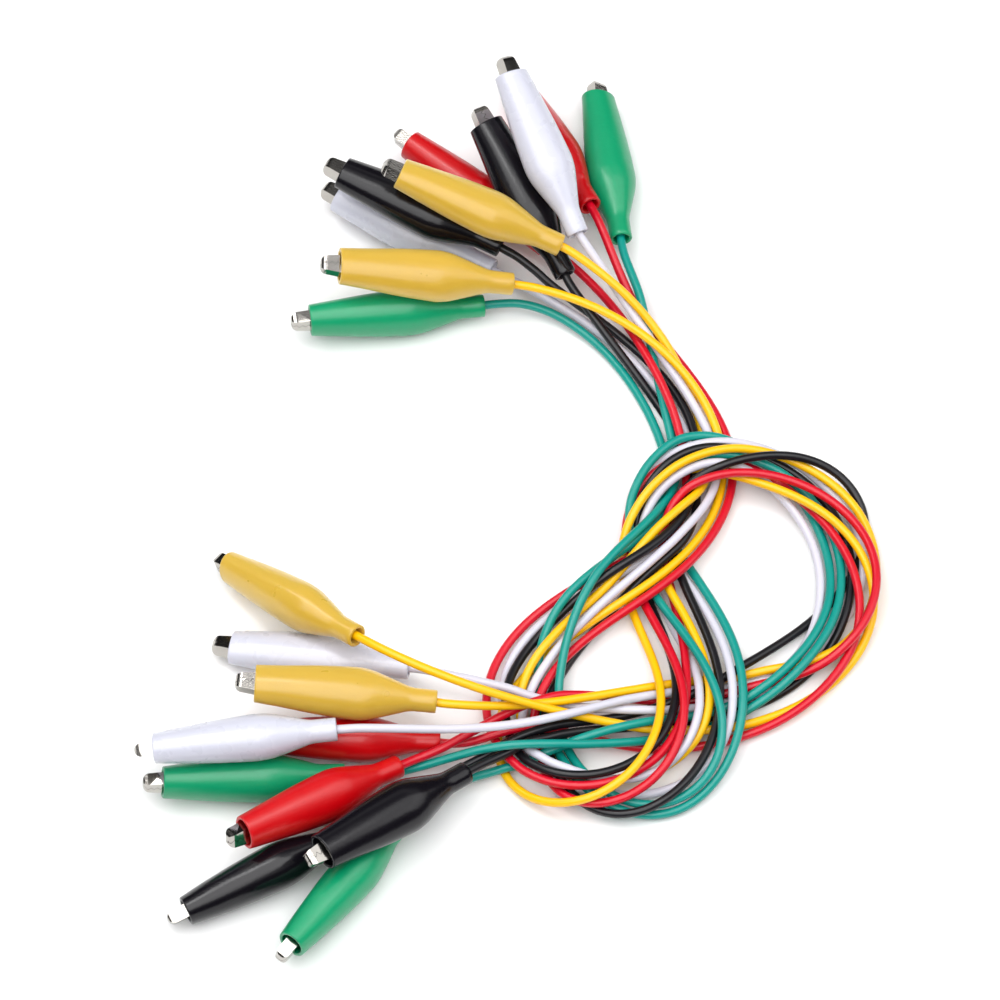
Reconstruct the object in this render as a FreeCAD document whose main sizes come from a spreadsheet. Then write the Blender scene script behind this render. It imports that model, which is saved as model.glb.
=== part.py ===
import FreeCAD, Part
import math
import os
from FreeCAD import Matrix, Placement, Rotation, Vector

# Set of ten double-ended test leads, loosely knotted together. Each lead has a
# stranded conductor in a jacket and, at both ends, a stamped spring clip under a
# soft boot. Millimetres, +Z up, origin on the resting plane below the knot.
#
# Clip frame: origin on the pivot axis, +X to the jaw tip, Y along the rivet,
# +Z towards the moving jaw.

DIMENSIONS = [
    ("jacket_radius", 0.88), ("bore_radius", 0.56), ("conductor_radius", 0.40),
    ("sheet_gauge", 0.40), ("fixed_half", 2.30), ("moving_half", 1.80), ("front_half", 1.30),
    ("tip_reach", 14.40), ("tail_reach", 13.50), ("thumb_reach", 10.00),
    ("tooth_pitch", 1.20), ("tooth_rise", 0.76), ("tooth_gap", 0.12),
    ("rivet_radius", 0.75), ("rivet_half", 2.60),
    ("rivet_head_radius", 1.05), ("rivet_head_length", 0.25),
    ("ear_radius", 1.50), ("fixed_hole_radius", 0.76), ("moving_hole_radius", 0.78),
    ("band_outer", 1.35), ("band_inner", 1.06), ("band_length", 2.20),
    ("spring_coil_radius", 1.28), ("spring_wire_radius", 0.20), ("spring_half", 0.90),
    ("solder_radius", 0.85), ("solder_length", 2.10), ("boot_wall", 0.70),
]

doc = FreeCAD.newDocument("clip_lead_set")
sheet = doc.addObject("Spreadsheet::Sheet", "dims")
for row, (alias, value) in enumerate(DIMENSIONS, start=1):
    sheet.set("A%d" % row, alias)
    sheet.set("B%d" % row, "%g" % value)
    sheet.setAlias("B%d" % row, alias)
doc.recompute()
DIMS = {alias: float(sheet.get(alias)) for alias, _ in DIMENSIONS}
GAUGE = DIMS["sheet_gauge"]
TIP = DIMS["tip_reach"]
TAIL = DIMS["tail_reach"]
THUMB = DIMS["thumb_reach"]

# Side profile shared by both jaws, (x, distance from the clip's XY plane).
TAPER_END = 10.5
BACK_EDGE = [(TAPER_END, 1.86), (4, 2.35), (0, 2.60)]
OUTER_FRONT = [(TIP, 0.70), (TIP - 0.12, 1.02), (TIP - 0.42, 1.32), (TIP - 1.0, 1.54)] + BACK_EDGE
INNER_FRONT = [(TIP - GAUGE, -5), (TIP - GAUGE, 0.60), (TIP - 0.62, 0.86), (TIP - 1.05, 1.10)]
INNER_FRONT += [(x, z - GAUGE) for x, z in BACK_EDGE]
FIRST_TOOTH_X = 5.6
TOOTH_POINTS = 14
TEETH_END = 14.0
FIXED_LIP_Z = -0.42
MOVING_LIP_Z = -0.30

BAND_AXIS_Z = -1.48
SOLDER_START = (-9.6, -2.05)

# Boot stations: (x, half width, half height).
BOOT_STATIONS = [
    (10.5, 2.95, 3.70), (4.0, 3.65, 4.30), (-2.0, 4.20, 4.90),
    (-9.5, 4.60, 5.30), (-11.5, 4.50, 5.10), (-15.0, 3.70, 4.00),
    (-18.0, 2.90, 3.00), (-20.0, 2.35, 2.40), (-25.0, 2.30, 2.30),
]
BOOT_OVERRUN = 0.4
BOOT_MOUTH_INSET = 0.035

# Spring legs, (x, z) from the coil outwards, and the coil's start and sweep in degrees.
UPPER_LEG = [(-2.2, 1.61), (-4.6, 1.98), (-7.0, 2.35)]
LOWER_LEG = [(-2.2, -1.55), (-4.6, -1.85), (-7.0, -2.12)]
COIL_START = 100.0
COIL_SWEEP = 200.0 + 720.0
COIL_STEPS = 40

# Run of a conductor inside a clip, (x, z) from solder joint to boot collar.
# The jacket starts at the point numbered JACKET_START.
INNER_RUN = [
    (-7.3, -2.08), (-9.0, -2.05), (-10.2, -1.90), (-11.2, -1.66), (-12.3, -1.48),
    (-13.6, -1.37), (-16.0, -0.88), (-18.5, -0.35), (-21.0, -0.08), (-23.0, 0.0),
]
JACKET_START = 3
STUB_CLEARANCE = 0.05

# Clip placements: name, pivot, then the clip's X, Y and Z axes.
CLIPS = """
T1 -12.565,76.023,6.583 -0.779946,0.613872,0.121839 -0.625709,-0.760777,-0.172354 -0.013112,-0.210663,0.977471
T2 -24.782,65.432,15.908 -0.904760,0.388554,0.174458 -0.256970,-0.171320,-0.951113 -0.339671,-0.905359,0.254850
T3 -25.866,66.509,5.079 -0.880911,0.471794,0.037500 -0.154126,-0.211056,-0.965246 -0.447483,-0.856076,0.258637
T4 -12.860,60.917,23.013 -0.910197,0.318194,0.265131 -0.381749,-0.396217,-0.835032 -0.160653,-0.861257,0.482106
T5 -24.306,47.233,15.855 -0.980040,-0.000921,0.198797 0.195940,-0.173464,0.965152 0.033596,0.984840,0.170182
T6 -30.318,42.625,6.088 -0.986764,-0.142919,0.076621 0.143340,-0.989673,0.000000 0.075830,0.010983,0.997060
T7 -0.444,72.372,14.562 -0.454500,0.853504,0.254873 0.271247,-0.139929,0.952284 0.848443,0.501946,-0.167913
T8 3.834,77.473,24.378 -0.381037,0.864125,0.328783 -0.572378,0.058796,-0.817879 -0.726081,-0.499830,0.472203
T9 5.876,88.921,5.435 -0.406752,0.897216,-0.171917 -0.884613,-0.433816,-0.171063 -0.228061,0.082500,0.970145
T10 19.207,85.771,4.496 -0.123199,0.990955,-0.053191 -0.632850,-0.119739,-0.764960 -0.764410,-0.060580,0.641878
B1 -48.204,-21.100,8.063 -0.718628,0.612652,-0.328985 -0.648765,-0.760989,-0.000000 -0.250354,0.213434,0.944335
B2 -44.850,-33.765,4.281 -0.985632,0.160291,-0.053267 -0.005495,-0.345620,-0.938359 -0.168820,-0.924583,0.341535
B3 -39.594,-46.959,14.251 -0.994868,0.081269,0.060270 0.052746,-0.091755,0.994384 0.086342,0.992460,0.086997
B4 -58.893,-58.917,14.579 -0.994506,-0.093636,-0.046808 0.104481,-0.860018,-0.499452 0.006511,-0.501598,0.865076
B5 -39.110,-53.322,5.968 -0.997391,-0.003363,0.072109 0.021494,0.939770,0.341130 -0.068913,0.341790,-0.937246
B6 -57.514,-62.685,5.999 -0.994548,-0.080091,0.066787 -0.080270,0.996773,-0.000000 -0.066572,-0.005361,-0.997767
B7 -42.906,-72.673,11.608 -0.830877,-0.514846,0.211134 0.556338,-0.760740,0.334310 -0.011500,0.395232,0.918509
B8 -28.309,-77.089,13.687 -0.773669,-0.595094,0.217483 0.370516,-0.146499,0.917200 -0.513960,0.790190,0.333834
B9 -53.646,-85.324,4.817 -0.885863,-0.460877,-0.053280 0.449864,-0.825213,-0.341534 0.113438,-0.326522,0.938358
B10 -36.116,-90.200,6.059 -0.600147,-0.796312,0.075568 0.778566,-0.603203,-0.173152 0.183466,-0.045082,0.981992
"""

# Leads: name, first clip, last clip, then x,y,z points of the run from collar to collar.
LEADS = {
"yellow_1": ("T4", "B1", """
10.76,52.53,16.13 13.26,51.20,15.35 15.65,49.71,14.53 17.94,48.17,13.69 20.20,46.58,12.75 22.34,44.99,11.66
24.40,43.32,10.46 26.33,41.60,9.21 28.16,39.76,7.93 29.85,37.83,6.67 31.42,35.76,5.45 32.83,33.57,4.33
34.09,31.23,3.33 35.20,28.79,2.49 36.19,26.23,1.81 37.03,23.61,1.33 37.74,20.92,1.07 38.31,18.20,1.05
38.72,15.46,1.27 39.01,12.76,1.80 39.09,10.12,2.59 38.98,7.55,3.59 38.61,5.09,4.74 37.80,2.81,6.02
36.55,0.61,7.07 34.88,-1.43,7.89 33.00,-3.45,8.30 31.03,-5.47,8.40 29.03,-7.50,8.27 27.14,-9.62,7.96
25.28,-11.79,7.55 23.47,-13.95,7.09 21.64,-16.15,6.65 19.82,-18.30,6.21 17.91,-20.43,5.93 15.92,-22.46,5.82
13.90,-24.47,5.77 11.93,-26.49,5.78 10.00,-28.53,5.78 8.16,-30.61,5.70 6.45,-32.76,5.53 4.84,-34.91,5.08
3.49,-37.13,4.39 2.43,-39.47,3.64 1.76,-41.88,2.86 1.47,-44.37,2.09 1.73,-46.86,1.54 2.50,-49.33,1.19
3.67,-51.62,0.99 5.27,-53.70,0.94 7.05,-55.60,0.96 9.10,-57.27,0.97 11.38,-58.54,0.97 13.85,-59.49,0.97
16.41,-60.04,1.07 19.05,-60.29,1.24 21.67,-60.24,1.48 24.29,-59.91,1.81 26.82,-59.28,2.20 29.26,-58.35,2.66
31.52,-57.12,3.17 33.58,-55.55,3.70 35.34,-53.69,4.22 36.78,-51.53,4.74 37.81,-49.14,5.09 38.47,-46.57,5.34
38.75,-43.91,5.41 38.70,-41.20,5.41 38.38,-38.50,5.28 37.83,-35.81,5.14 37.08,-33.14,4.97 36.19,-30.51,4.77
35.18,-27.91,4.56 34.09,-25.33,4.34 32.94,-22.78,4.06 31.37,-19.40,3.62 30.28,-16.83,3.37 29.26,-14.22,3.19
28.41,-11.57,3.01 27.88,-8.84,2.80 27.37,-6.13,2.69 27.00,-3.43,2.80 27.00,-0.73,2.97 27.29,1.86,3.17
28.39,4.19,3.55 30.15,5.91,4.12 32.36,7.09,4.78 34.89,7.36,5.25 37.47,7.23,5.87 40.10,6.64,6.00
42.71,5.86,6.27 45.31,5.03,6.49 47.89,4.06,6.64 50.45,3.03,6.77 52.99,1.96,6.79 55.48,0.77,6.79
57.90,-0.54,6.73 60.23,-1.99,6.63 62.43,-3.62,6.49 64.45,-5.43,6.26 66.29,-7.42,6.00 67.89,-9.57,5.71
69.24,-11.90,5.39 70.29,-14.34,5.04 71.04,-16.90,4.68 71.46,-19.50,4.31 71.54,-22.16,3.92 71.28,-24.77,3.52
70.65,-27.35,3.09 69.72,-29.81,2.67 68.51,-32.18,2.27 67.04,-34.40,1.92 65.35,-36.49,1.61 63.48,-38.42,1.37
61.44,-40.20,1.20 59.27,-41.83,1.12 56.98,-43.32,1.11 54.60,-44.67,1.20 52.15,-45.89,1.36 49.63,-46.99,1.60
47.08,-47.99,1.89 44.46,-48.83,2.20 41.79,-49.50,2.53 39.06,-49.94,2.81 36.29,-50.20,3.05 33.51,-50.31,3.29
30.72,-50.30,3.44 27.92,-50.25,3.56 25.15,-50.09,3.84 22.43,-49.86,4.41 19.74,-49.65,5.13 17.05,-49.45,5.90
14.40,-49.25,6.79 11.72,-49.05,7.64 9.11,-48.91,8.71 6.49,-48.75,9.81 3.89,-48.55,10.91 1.23,-48.25,11.91
-1.41,-47.89,12.89 -4.09,-47.45,13.82 -6.74,-46.94,14.69 -9.41,-46.32,15.50 -12.06,-45.61,16.22 -14.71,-44.78,16.84
-17.32,-43.84,17.32 -19.92,-42.76,17.65 -22.45,-41.54,17.78 -24.91,-40.18,17.68 -27.26,-38.68,17.33 -29.48,-36.99,16.60
"""),
"yellow_2": ("T5", "B3", """
1.17,47.19,10.69 4.05,46.97,10.19 6.83,46.43,9.83 9.61,45.70,9.53 12.31,44.82,9.29 14.98,43.75,9.08
17.56,42.56,8.90 20.09,41.20,8.71 22.52,39.74,8.51 24.89,38.14,8.26 27.15,36.45,7.95 29.34,34.67,7.50
31.40,32.83,6.91 33.35,30.88,6.23 35.15,28.85,5.50 36.80,26.69,4.76 38.28,24.43,4.04 39.56,22.05,3.38
40.62,19.55,2.80 41.45,16.96,2.32 41.97,14.28,1.99 42.22,11.53,1.81 42.22,8.78,1.78 41.98,6.03,1.88
41.50,3.32,2.10 40.79,0.65,2.42 39.88,-1.93,2.82 38.77,-4.45,3.27 37.48,-6.86,3.75 36.01,-9.20,4.22
34.40,-11.43,4.66 32.61,-13.55,5.04 30.66,-15.55,5.27 28.58,-17.44,5.42 26.40,-19.21,5.44 24.13,-20.89,5.33
21.80,-22.46,5.06 19.43,-23.97,4.64 16.29,-25.94,3.86 13.98,-27.44,3.19 11.69,-29.01,2.52 9.47,-30.64,1.91
7.31,-32.41,1.45 5.24,-34.27,1.09 3.37,-36.34,1.25 1.72,-38.55,1.64 0.20,-40.84,2.04 -0.77,-43.36,2.60
-1.86,-45.86,2.86 -2.47,-48.43,2.27 -2.72,-51.02,1.75 -2.74,-53.64,1.33 -2.27,-56.18,1.04 -1.38,-58.63,0.97
-0.13,-60.85,1.29 1.50,-62.82,1.80 3.36,-64.44,2.49 5.46,-65.73,3.34 7.69,-66.63,4.24 10.06,-67.14,5.17
12.44,-67.25,6.09 14.90,-66.90,6.84 17.24,-66.14,7.49 19.50,-64.98,8.04 21.55,-63.48,8.44 23.40,-61.67,8.72
24.98,-59.62,8.86 26.32,-57.36,8.84 27.38,-54.97,8.70 28.20,-52.47,8.32 28.75,-49.92,7.84 29.06,-47.32,7.25
29.14,-44.72,6.58 29.01,-42.11,5.88 28.67,-39.53,5.09 28.17,-36.95,4.32 27.53,-34.39,3.60 26.79,-31.83,2.95
25.97,-29.26,2.40 25.11,-26.68,1.99 24.24,-24.08,1.77 23.43,-21.46,1.72 22.70,-18.83,1.96 22.11,-16.22,2.49
21.82,-13.60,3.16 21.89,-11.03,4.06 22.24,-8.53,5.08 22.98,-6.08,6.02 24.08,-3.69,6.76 25.43,-1.43,7.47
27.03,0.71,8.07 28.86,2.68,8.60 30.88,4.47,9.04 33.09,6.05,9.38 35.47,7.38,9.54 37.98,8.47,9.58
40.57,9.31,9.48 43.23,9.89,9.23 45.89,10.19,8.76 48.54,10.20,8.15 51.16,9.94,7.51 53.74,9.41,6.85
56.25,8.63,6.24 58.69,7.58,5.72 61.02,6.31,5.28 63.21,4.79,4.90 65.23,3.07,4.58 67.04,1.13,4.26
68.61,-0.98,3.94 69.91,-3.28,3.63 70.93,-5.68,3.28 71.69,-8.20,2.92 72.15,-10.77,2.60 72.35,-14.24,2.23
72.17,-16.87,2.02 71.72,-19.43,1.91 71.00,-21.96,1.88 70.02,-24.36,1.95 68.82,-26.68,2.19 67.35,-28.78,2.44
65.68,-30.74,2.88 63.82,-32.46,3.33 61.63,-33.83,3.61 59.25,-34.84,3.56 56.75,-35.63,3.45 54.17,-36.16,3.25
51.53,-36.53,3.00 48.90,-36.85,2.48 46.27,-37.23,1.86 43.58,-37.57,1.42 40.84,-37.90,1.44 38.08,-38.30,1.56
35.34,-38.75,1.88 32.62,-39.34,2.32 29.95,-40.06,2.86 27.27,-40.83,3.49 24.63,-41.65,4.16 21.97,-42.50,4.86
19.34,-43.35,5.56 16.64,-44.19,6.21 13.95,-44.98,6.80 11.22,-45.75,7.41 8.51,-46.48,8.02 5.75,-47.15,8.64
3.01,-47.74,9.25 0.26,-48.30,9.94 -2.48,-48.75,10.61 -5.27,-49.10,11.26 -8.05,-49.32,11.86 -10.89,-49.39,12.37
-13.76,-49.25,12.68
"""),
"green_1": ("T6", "B6", """
-4.69,46.46,4.10 -1.91,46.89,3.87 0.77,47.09,3.62 3.46,46.82,3.33 6.05,46.12,3.02 8.56,45.08,2.71
10.92,43.75,2.41 13.18,42.18,2.13 15.32,40.46,1.89 17.33,38.55,1.67 19.20,36.50,1.48 20.94,34.32,1.33
22.55,32.04,1.20 24.03,29.66,1.10 25.40,27.20,1.04 26.66,24.69,1.00 27.79,22.11,0.98 28.80,19.48,0.97
29.68,16.81,0.97 30.40,14.09,0.97 30.96,11.35,1.00 31.34,8.59,1.16 31.46,5.84,1.45 31.37,3.16,2.08
31.08,0.56,2.87 29.98,-1.80,3.75 28.57,-4.02,4.56 27.26,-6.33,5.41 25.44,-8.39,5.99 23.52,-10.39,6.49
21.47,-12.30,6.86 19.34,-14.15,7.10 17.20,-16.00,7.24 15.09,-17.88,7.25 13.05,-19.82,7.12 11.16,-21.87,6.84
9.49,-24.05,6.37 8.05,-26.34,5.74 6.90,-28.73,4.98 5.99,-31.16,4.06 5.44,-33.72,3.28 5.16,-36.37,2.61
5.07,-38.98,1.88 5.26,-41.65,1.36 5.67,-44.29,1.04 6.28,-46.93,0.97 7.11,-49.47,1.06 7.96,-51.98,1.55
8.91,-54.42,2.11 10.07,-56.77,2.74 11.38,-59.06,3.02 12.96,-61.23,3.09 14.73,-63.17,3.02 16.76,-64.89,2.79
18.97,-66.26,2.51 21.40,-67.29,2.19 23.92,-67.92,1.93 26.56,-68.12,1.75 29.16,-67.90,1.67 31.74,-67.23,1.71
34.12,-66.14,1.90 36.33,-64.65,2.21 38.28,-62.86,2.62 40.01,-60.81,3.07 41.48,-58.56,3.55 42.71,-56.14,4.03
43.69,-53.59,4.49 44.45,-50.93,4.90 44.97,-48.19,5.24 45.26,-45.39,5.49 45.30,-42.54,5.62 45.14,-39.68,5.56
44.77,-36.82,5.40 44.22,-34.01,5.08 43.22,-30.31,4.48 42.29,-27.57,3.96 41.25,-24.91,3.41 40.10,-22.26,2.86
38.88,-19.68,2.33 37.58,-17.09,1.85 36.25,-14.56,1.45 34.86,-12.03,1.14 33.47,-9.54,0.98 32.11,-7.04,0.97
30.70,-4.65,1.18 29.60,-2.22,1.68 28.98,0.20,2.53 29.50,2.28,4.04 30.50,4.33,5.38 32.10,6.07,6.52
34.23,7.58,7.18 36.65,8.70,7.48 39.28,9.44,7.51 42.00,9.71,7.31 44.76,9.57,6.98 47.47,9.13,6.56
50.10,8.34,6.04 52.62,7.24,5.48 54.99,5.85,4.90 57.14,4.14,4.32 59.08,2.16,3.80 60.78,-0.05,3.36
62.22,-2.45,3.02 63.39,-5.02,2.83 64.26,-7.71,2.81 64.87,-10.49,2.92 65.20,-13.30,3.14 65.28,-16.15,3.45
65.10,-18.97,3.81 64.69,-21.78,4.20 64.01,-24.53,4.60 63.07,-27.22,4.96 61.91,-29.81,5.27 60.53,-32.32,5.49
58.96,-34.70,5.58 57.19,-36.96,5.49 55.27,-39.04,5.17 53.18,-40.95,4.66 50.96,-42.66,4.08 48.60,-44.20,3.43
46.15,-45.57,2.78 43.60,-46.82,2.20 40.97,-47.84,1.64 38.26,-48.81,1.25 35.54,-49.74,1.15 32.76,-50.62,1.32
30.01,-51.43,1.79 27.24,-52.11,2.59 24.51,-52.84,3.38 21.75,-53.53,4.29 19.02,-54.17,5.19 16.23,-54.76,6.09
13.44,-55.27,6.92 10.55,-55.56,7.60 7.68,-55.83,8.16 4.75,-56.04,8.54 1.84,-56.25,8.76 -1.10,-56.43,8.61
-3.96,-56.67,8.12 -6.82,-56.93,7.47 -9.56,-57.28,6.55 -12.31,-57.67,5.59 -15.01,-58.08,4.64 -17.76,-58.54,3.81
-20.52,-59.00,3.20 -23.31,-59.45,2.83 -26.07,-59.91,3.27 -28.81,-60.30,3.89 -31.66,-60.58,4.26
"""),
"green_2": ("T10", "B10", """
22.36,60.00,5.88 22.91,57.14,6.01 23.73,54.37,6.10 24.63,51.66,6.13 25.52,48.91,6.07 26.24,46.17,5.83
26.84,43.42,5.34 27.39,40.70,4.81 27.89,37.95,4.24 28.38,35.22,3.78 28.91,32.46,3.45 29.41,29.71,3.20
29.91,26.95,3.07 30.44,24.22,3.00 30.95,21.50,2.96 31.49,18.81,2.76 32.00,16.14,2.55 32.43,13.46,2.43
32.69,10.80,2.47 32.78,8.15,2.70 32.59,5.59,3.22 31.95,3.15,4.06 31.00,0.83,4.92 29.73,-1.38,5.76
28.39,-3.56,6.57 26.88,-5.68,7.32 25.27,-7.76,7.95 23.59,-9.83,8.49 21.88,-11.90,8.92 20.18,-14.01,9.23
18.53,-16.16,9.40 16.94,-18.38,9.45 15.55,-20.70,9.20 14.27,-23.08,8.86 13.13,-25.51,8.40 12.14,-27.97,7.84
11.29,-30.47,7.22 10.58,-32.99,6.54 10.02,-35.51,5.83 9.58,-38.05,5.06 9.27,-40.55,4.25 9.16,-43.09,3.49
9.11,-45.58,2.76 9.34,-48.13,2.27 9.77,-50.60,1.92 10.55,-53.04,2.00 11.58,-55.32,2.23 12.79,-57.53,2.58
14.20,-59.54,2.97 15.87,-61.45,2.97 17.73,-63.08,3.04 19.84,-64.45,2.96 22.07,-65.46,2.87 24.49,-66.13,2.79
26.93,-66.37,2.77 29.43,-66.16,2.84 31.78,-65.52,3.07 34.05,-64.46,3.42 36.04,-63.06,3.86 37.77,-61.28,4.41
39.13,-59.25,5.00 40.14,-56.96,5.61 40.76,-54.54,6.19 41.03,-51.97,6.70 40.97,-49.38,7.12 40.60,-46.73,7.37
39.99,-44.11,7.49 39.16,-41.50,7.46 38.17,-38.92,7.31 37.06,-36.39,6.96 35.84,-33.87,6.50 34.56,-31.41,5.95
33.22,-28.93,5.36 31.38,-25.65,4.51 30.00,-23.20,3.93 28.60,-20.67,3.44 27.27,-18.14,3.10 25.98,-15.51,3.03
24.86,-12.86,3.23 24.04,-10.07,3.52 23.62,-7.23,3.84 23.37,-4.37,4.33 23.43,-1.56,4.81 23.98,1.22,5.18
24.94,3.86,5.49 26.18,6.39,5.76 27.71,8.72,5.95 29.53,10.84,6.06 31.60,12.68,6.10 33.94,14.09,5.95
36.52,14.90,5.58 39.19,15.22,5.15 41.84,15.06,4.53 44.42,14.44,3.84 46.90,13.38,3.27 49.23,11.99,2.74
51.39,10.32,2.30 53.39,8.40,1.96 55.20,6.30,1.72 56.85,4.03,1.58 58.30,1.64,1.52 59.59,-0.87,1.56
60.68,-3.45,1.68 61.58,-6.12,1.89 62.29,-8.82,2.16 62.79,-11.57,2.49 63.08,-14.33,2.88 63.13,-17.10,3.29
62.94,-19.85,3.72 62.45,-22.56,4.14 61.68,-25.20,4.51 60.68,-27.76,4.84 59.44,-30.21,5.11 57.99,-32.56,5.28
56.35,-34.77,5.38 54.54,-36.84,5.29 52.58,-38.77,5.09 50.49,-40.52,4.73 48.27,-42.05,4.19 45.94,-43.42,3.67
43.46,-44.60,3.42 40.89,-45.65,3.28 38.27,-46.55,3.30 35.59,-47.29,3.55 32.91,-47.98,3.90 30.25,-48.61,4.56
27.64,-49.27,5.34 24.98,-50.06,5.91 22.29,-50.85,6.24 19.52,-51.60,6.27 16.80,-52.41,6.17 14.05,-53.24,5.93
11.38,-54.23,5.61 8.71,-55.21,5.15 6.07,-56.20,4.73 3.56,-57.12,3.61 0.94,-57.88,3.00 -1.79,-58.63,2.97
-4.46,-59.39,2.72 -7.13,-60.23,2.75 -9.74,-61.20,2.86 -12.25,-62.35,3.04 -14.64,-63.71,3.29 -16.85,-65.34,3.57
-18.82,-67.23,3.85 -20.61,-69.43,4.09
"""),
"red_1": ("T1", "B7", """
7.85,60.29,3.41 10.08,58.44,3.15 12.18,56.47,3.08 14.20,54.36,3.11 16.07,52.17,3.23 17.86,49.86,3.44
19.53,47.51,3.70 21.12,45.06,4.00 22.61,42.58,4.31 24.05,40.03,4.61 25.40,37.46,4.88 26.71,34.83,5.10
27.95,32.20,5.24 29.18,29.52,5.23 30.32,26.86,5.09 31.39,24.14,4.83 32.34,21.43,4.48 33.13,18.67,4.04
33.80,15.90,3.65 34.34,13.10,3.27 34.67,10.29,3.12 34.81,7.46,3.11 34.83,4.64,3.16 34.71,1.86,3.33
34.34,-0.85,3.73 33.64,-3.41,4.33 32.33,-5.70,4.99 30.57,-7.69,5.48 28.48,-9.45,5.58 26.24,-11.05,5.55
23.89,-12.50,5.35 21.48,-13.90,5.18 19.03,-15.22,4.84 16.57,-16.54,4.49 14.12,-17.87,4.09 11.71,-19.26,3.67
9.36,-20.73,3.26 7.08,-22.32,2.86 4.91,-24.03,2.48 2.87,-25.90,2.15 1.00,-27.93,1.87 -0.67,-30.12,1.66
-2.10,-32.46,1.53 -3.27,-34.93,1.48 -4.15,-37.53,1.54 -4.73,-40.18,1.70 -5.01,-42.88,1.97 -4.98,-45.58,2.33
-4.64,-48.25,2.77 -4.03,-50.83,3.31 -2.96,-53.32,3.71 -1.67,-55.64,4.27 -0.09,-57.77,4.92 1.75,-59.74,5.14
3.95,-61.31,5.41 6.37,-62.50,5.61 8.96,-63.32,5.78 11.62,-63.75,5.94 14.33,-63.83,6.07 17.02,-63.57,6.18
19.66,-62.95,6.27 22.18,-62.01,6.33 24.56,-60.72,6.34 26.73,-59.13,6.31 28.67,-57.24,6.26 30.33,-55.11,6.19
31.70,-52.75,6.09 32.77,-50.25,5.96 33.54,-47.62,5.81 34.01,-44.92,5.58 34.25,-42.17,5.34 34.30,-39.40,5.04
34.20,-36.64,4.70 33.94,-32.97,4.12 33.67,-30.25,3.57 33.33,-27.54,3.01 32.90,-24.86,2.41 32.40,-22.18,1.92
31.87,-19.50,1.63 31.31,-16.83,1.58 30.76,-14.19,1.78 30.32,-11.57,2.30 29.90,-9.08,3.11 29.82,-6.58,3.95
30.56,-4.38,5.11 31.55,-2.22,6.21 32.95,-0.32,7.23 34.77,1.33,8.14 37.00,2.51,8.72 39.46,3.41,9.06
42.01,4.07,9.13 44.65,4.48,9.02 47.30,4.63,8.79 49.97,4.54,8.46 52.60,4.19,8.09 55.20,3.58,7.71
57.71,2.72,7.35 60.14,1.59,7.02 62.42,0.21,6.74 64.54,-1.43,6.52 66.45,-3.29,6.37 68.15,-5.39,6.28
69.56,-7.65,6.26 70.69,-10.09,6.30 71.49,-12.64,6.37 71.97,-15.28,6.47 72.10,-17.95,6.57 71.88,-20.63,6.65
71.32,-23.25,6.68 70.42,-25.80,6.65 69.22,-28.20,6.50 67.71,-30.44,6.26 65.94,-32.45,5.82 63.95,-34.21,5.22
61.75,-35.73,4.61 59.34,-36.92,4.00 56.79,-37.87,3.40 54.11,-38.65,3.16 51.35,-39.30,2.98 48.59,-39.97,2.81
45.81,-40.64,2.53 43.04,-41.30,2.21 40.25,-41.98,1.85 37.44,-42.50,1.53 34.56,-42.83,1.31 31.68,-42.96,1.34
28.77,-43.01,1.61 25.91,-43.01,2.01 23.03,-43.00,2.58 20.22,-43.04,3.26 17.42,-43.16,4.06 14.70,-43.41,4.97
11.98,-43.83,5.86 9.31,-44.39,6.70 6.61,-45.27,7.13 3.95,-46.29,7.33 1.35,-47.50,7.44 -1.18,-48.81,7.40
-3.69,-50.20,7.28 -6.15,-51.63,7.10 -8.62,-53.06,6.88 -11.09,-54.43,6.61 -13.58,-55.82,6.41 -16.16,-56.91,6.03
-18.77,-57.97,5.80 -21.29,-59.31,6.12
"""),
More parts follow.
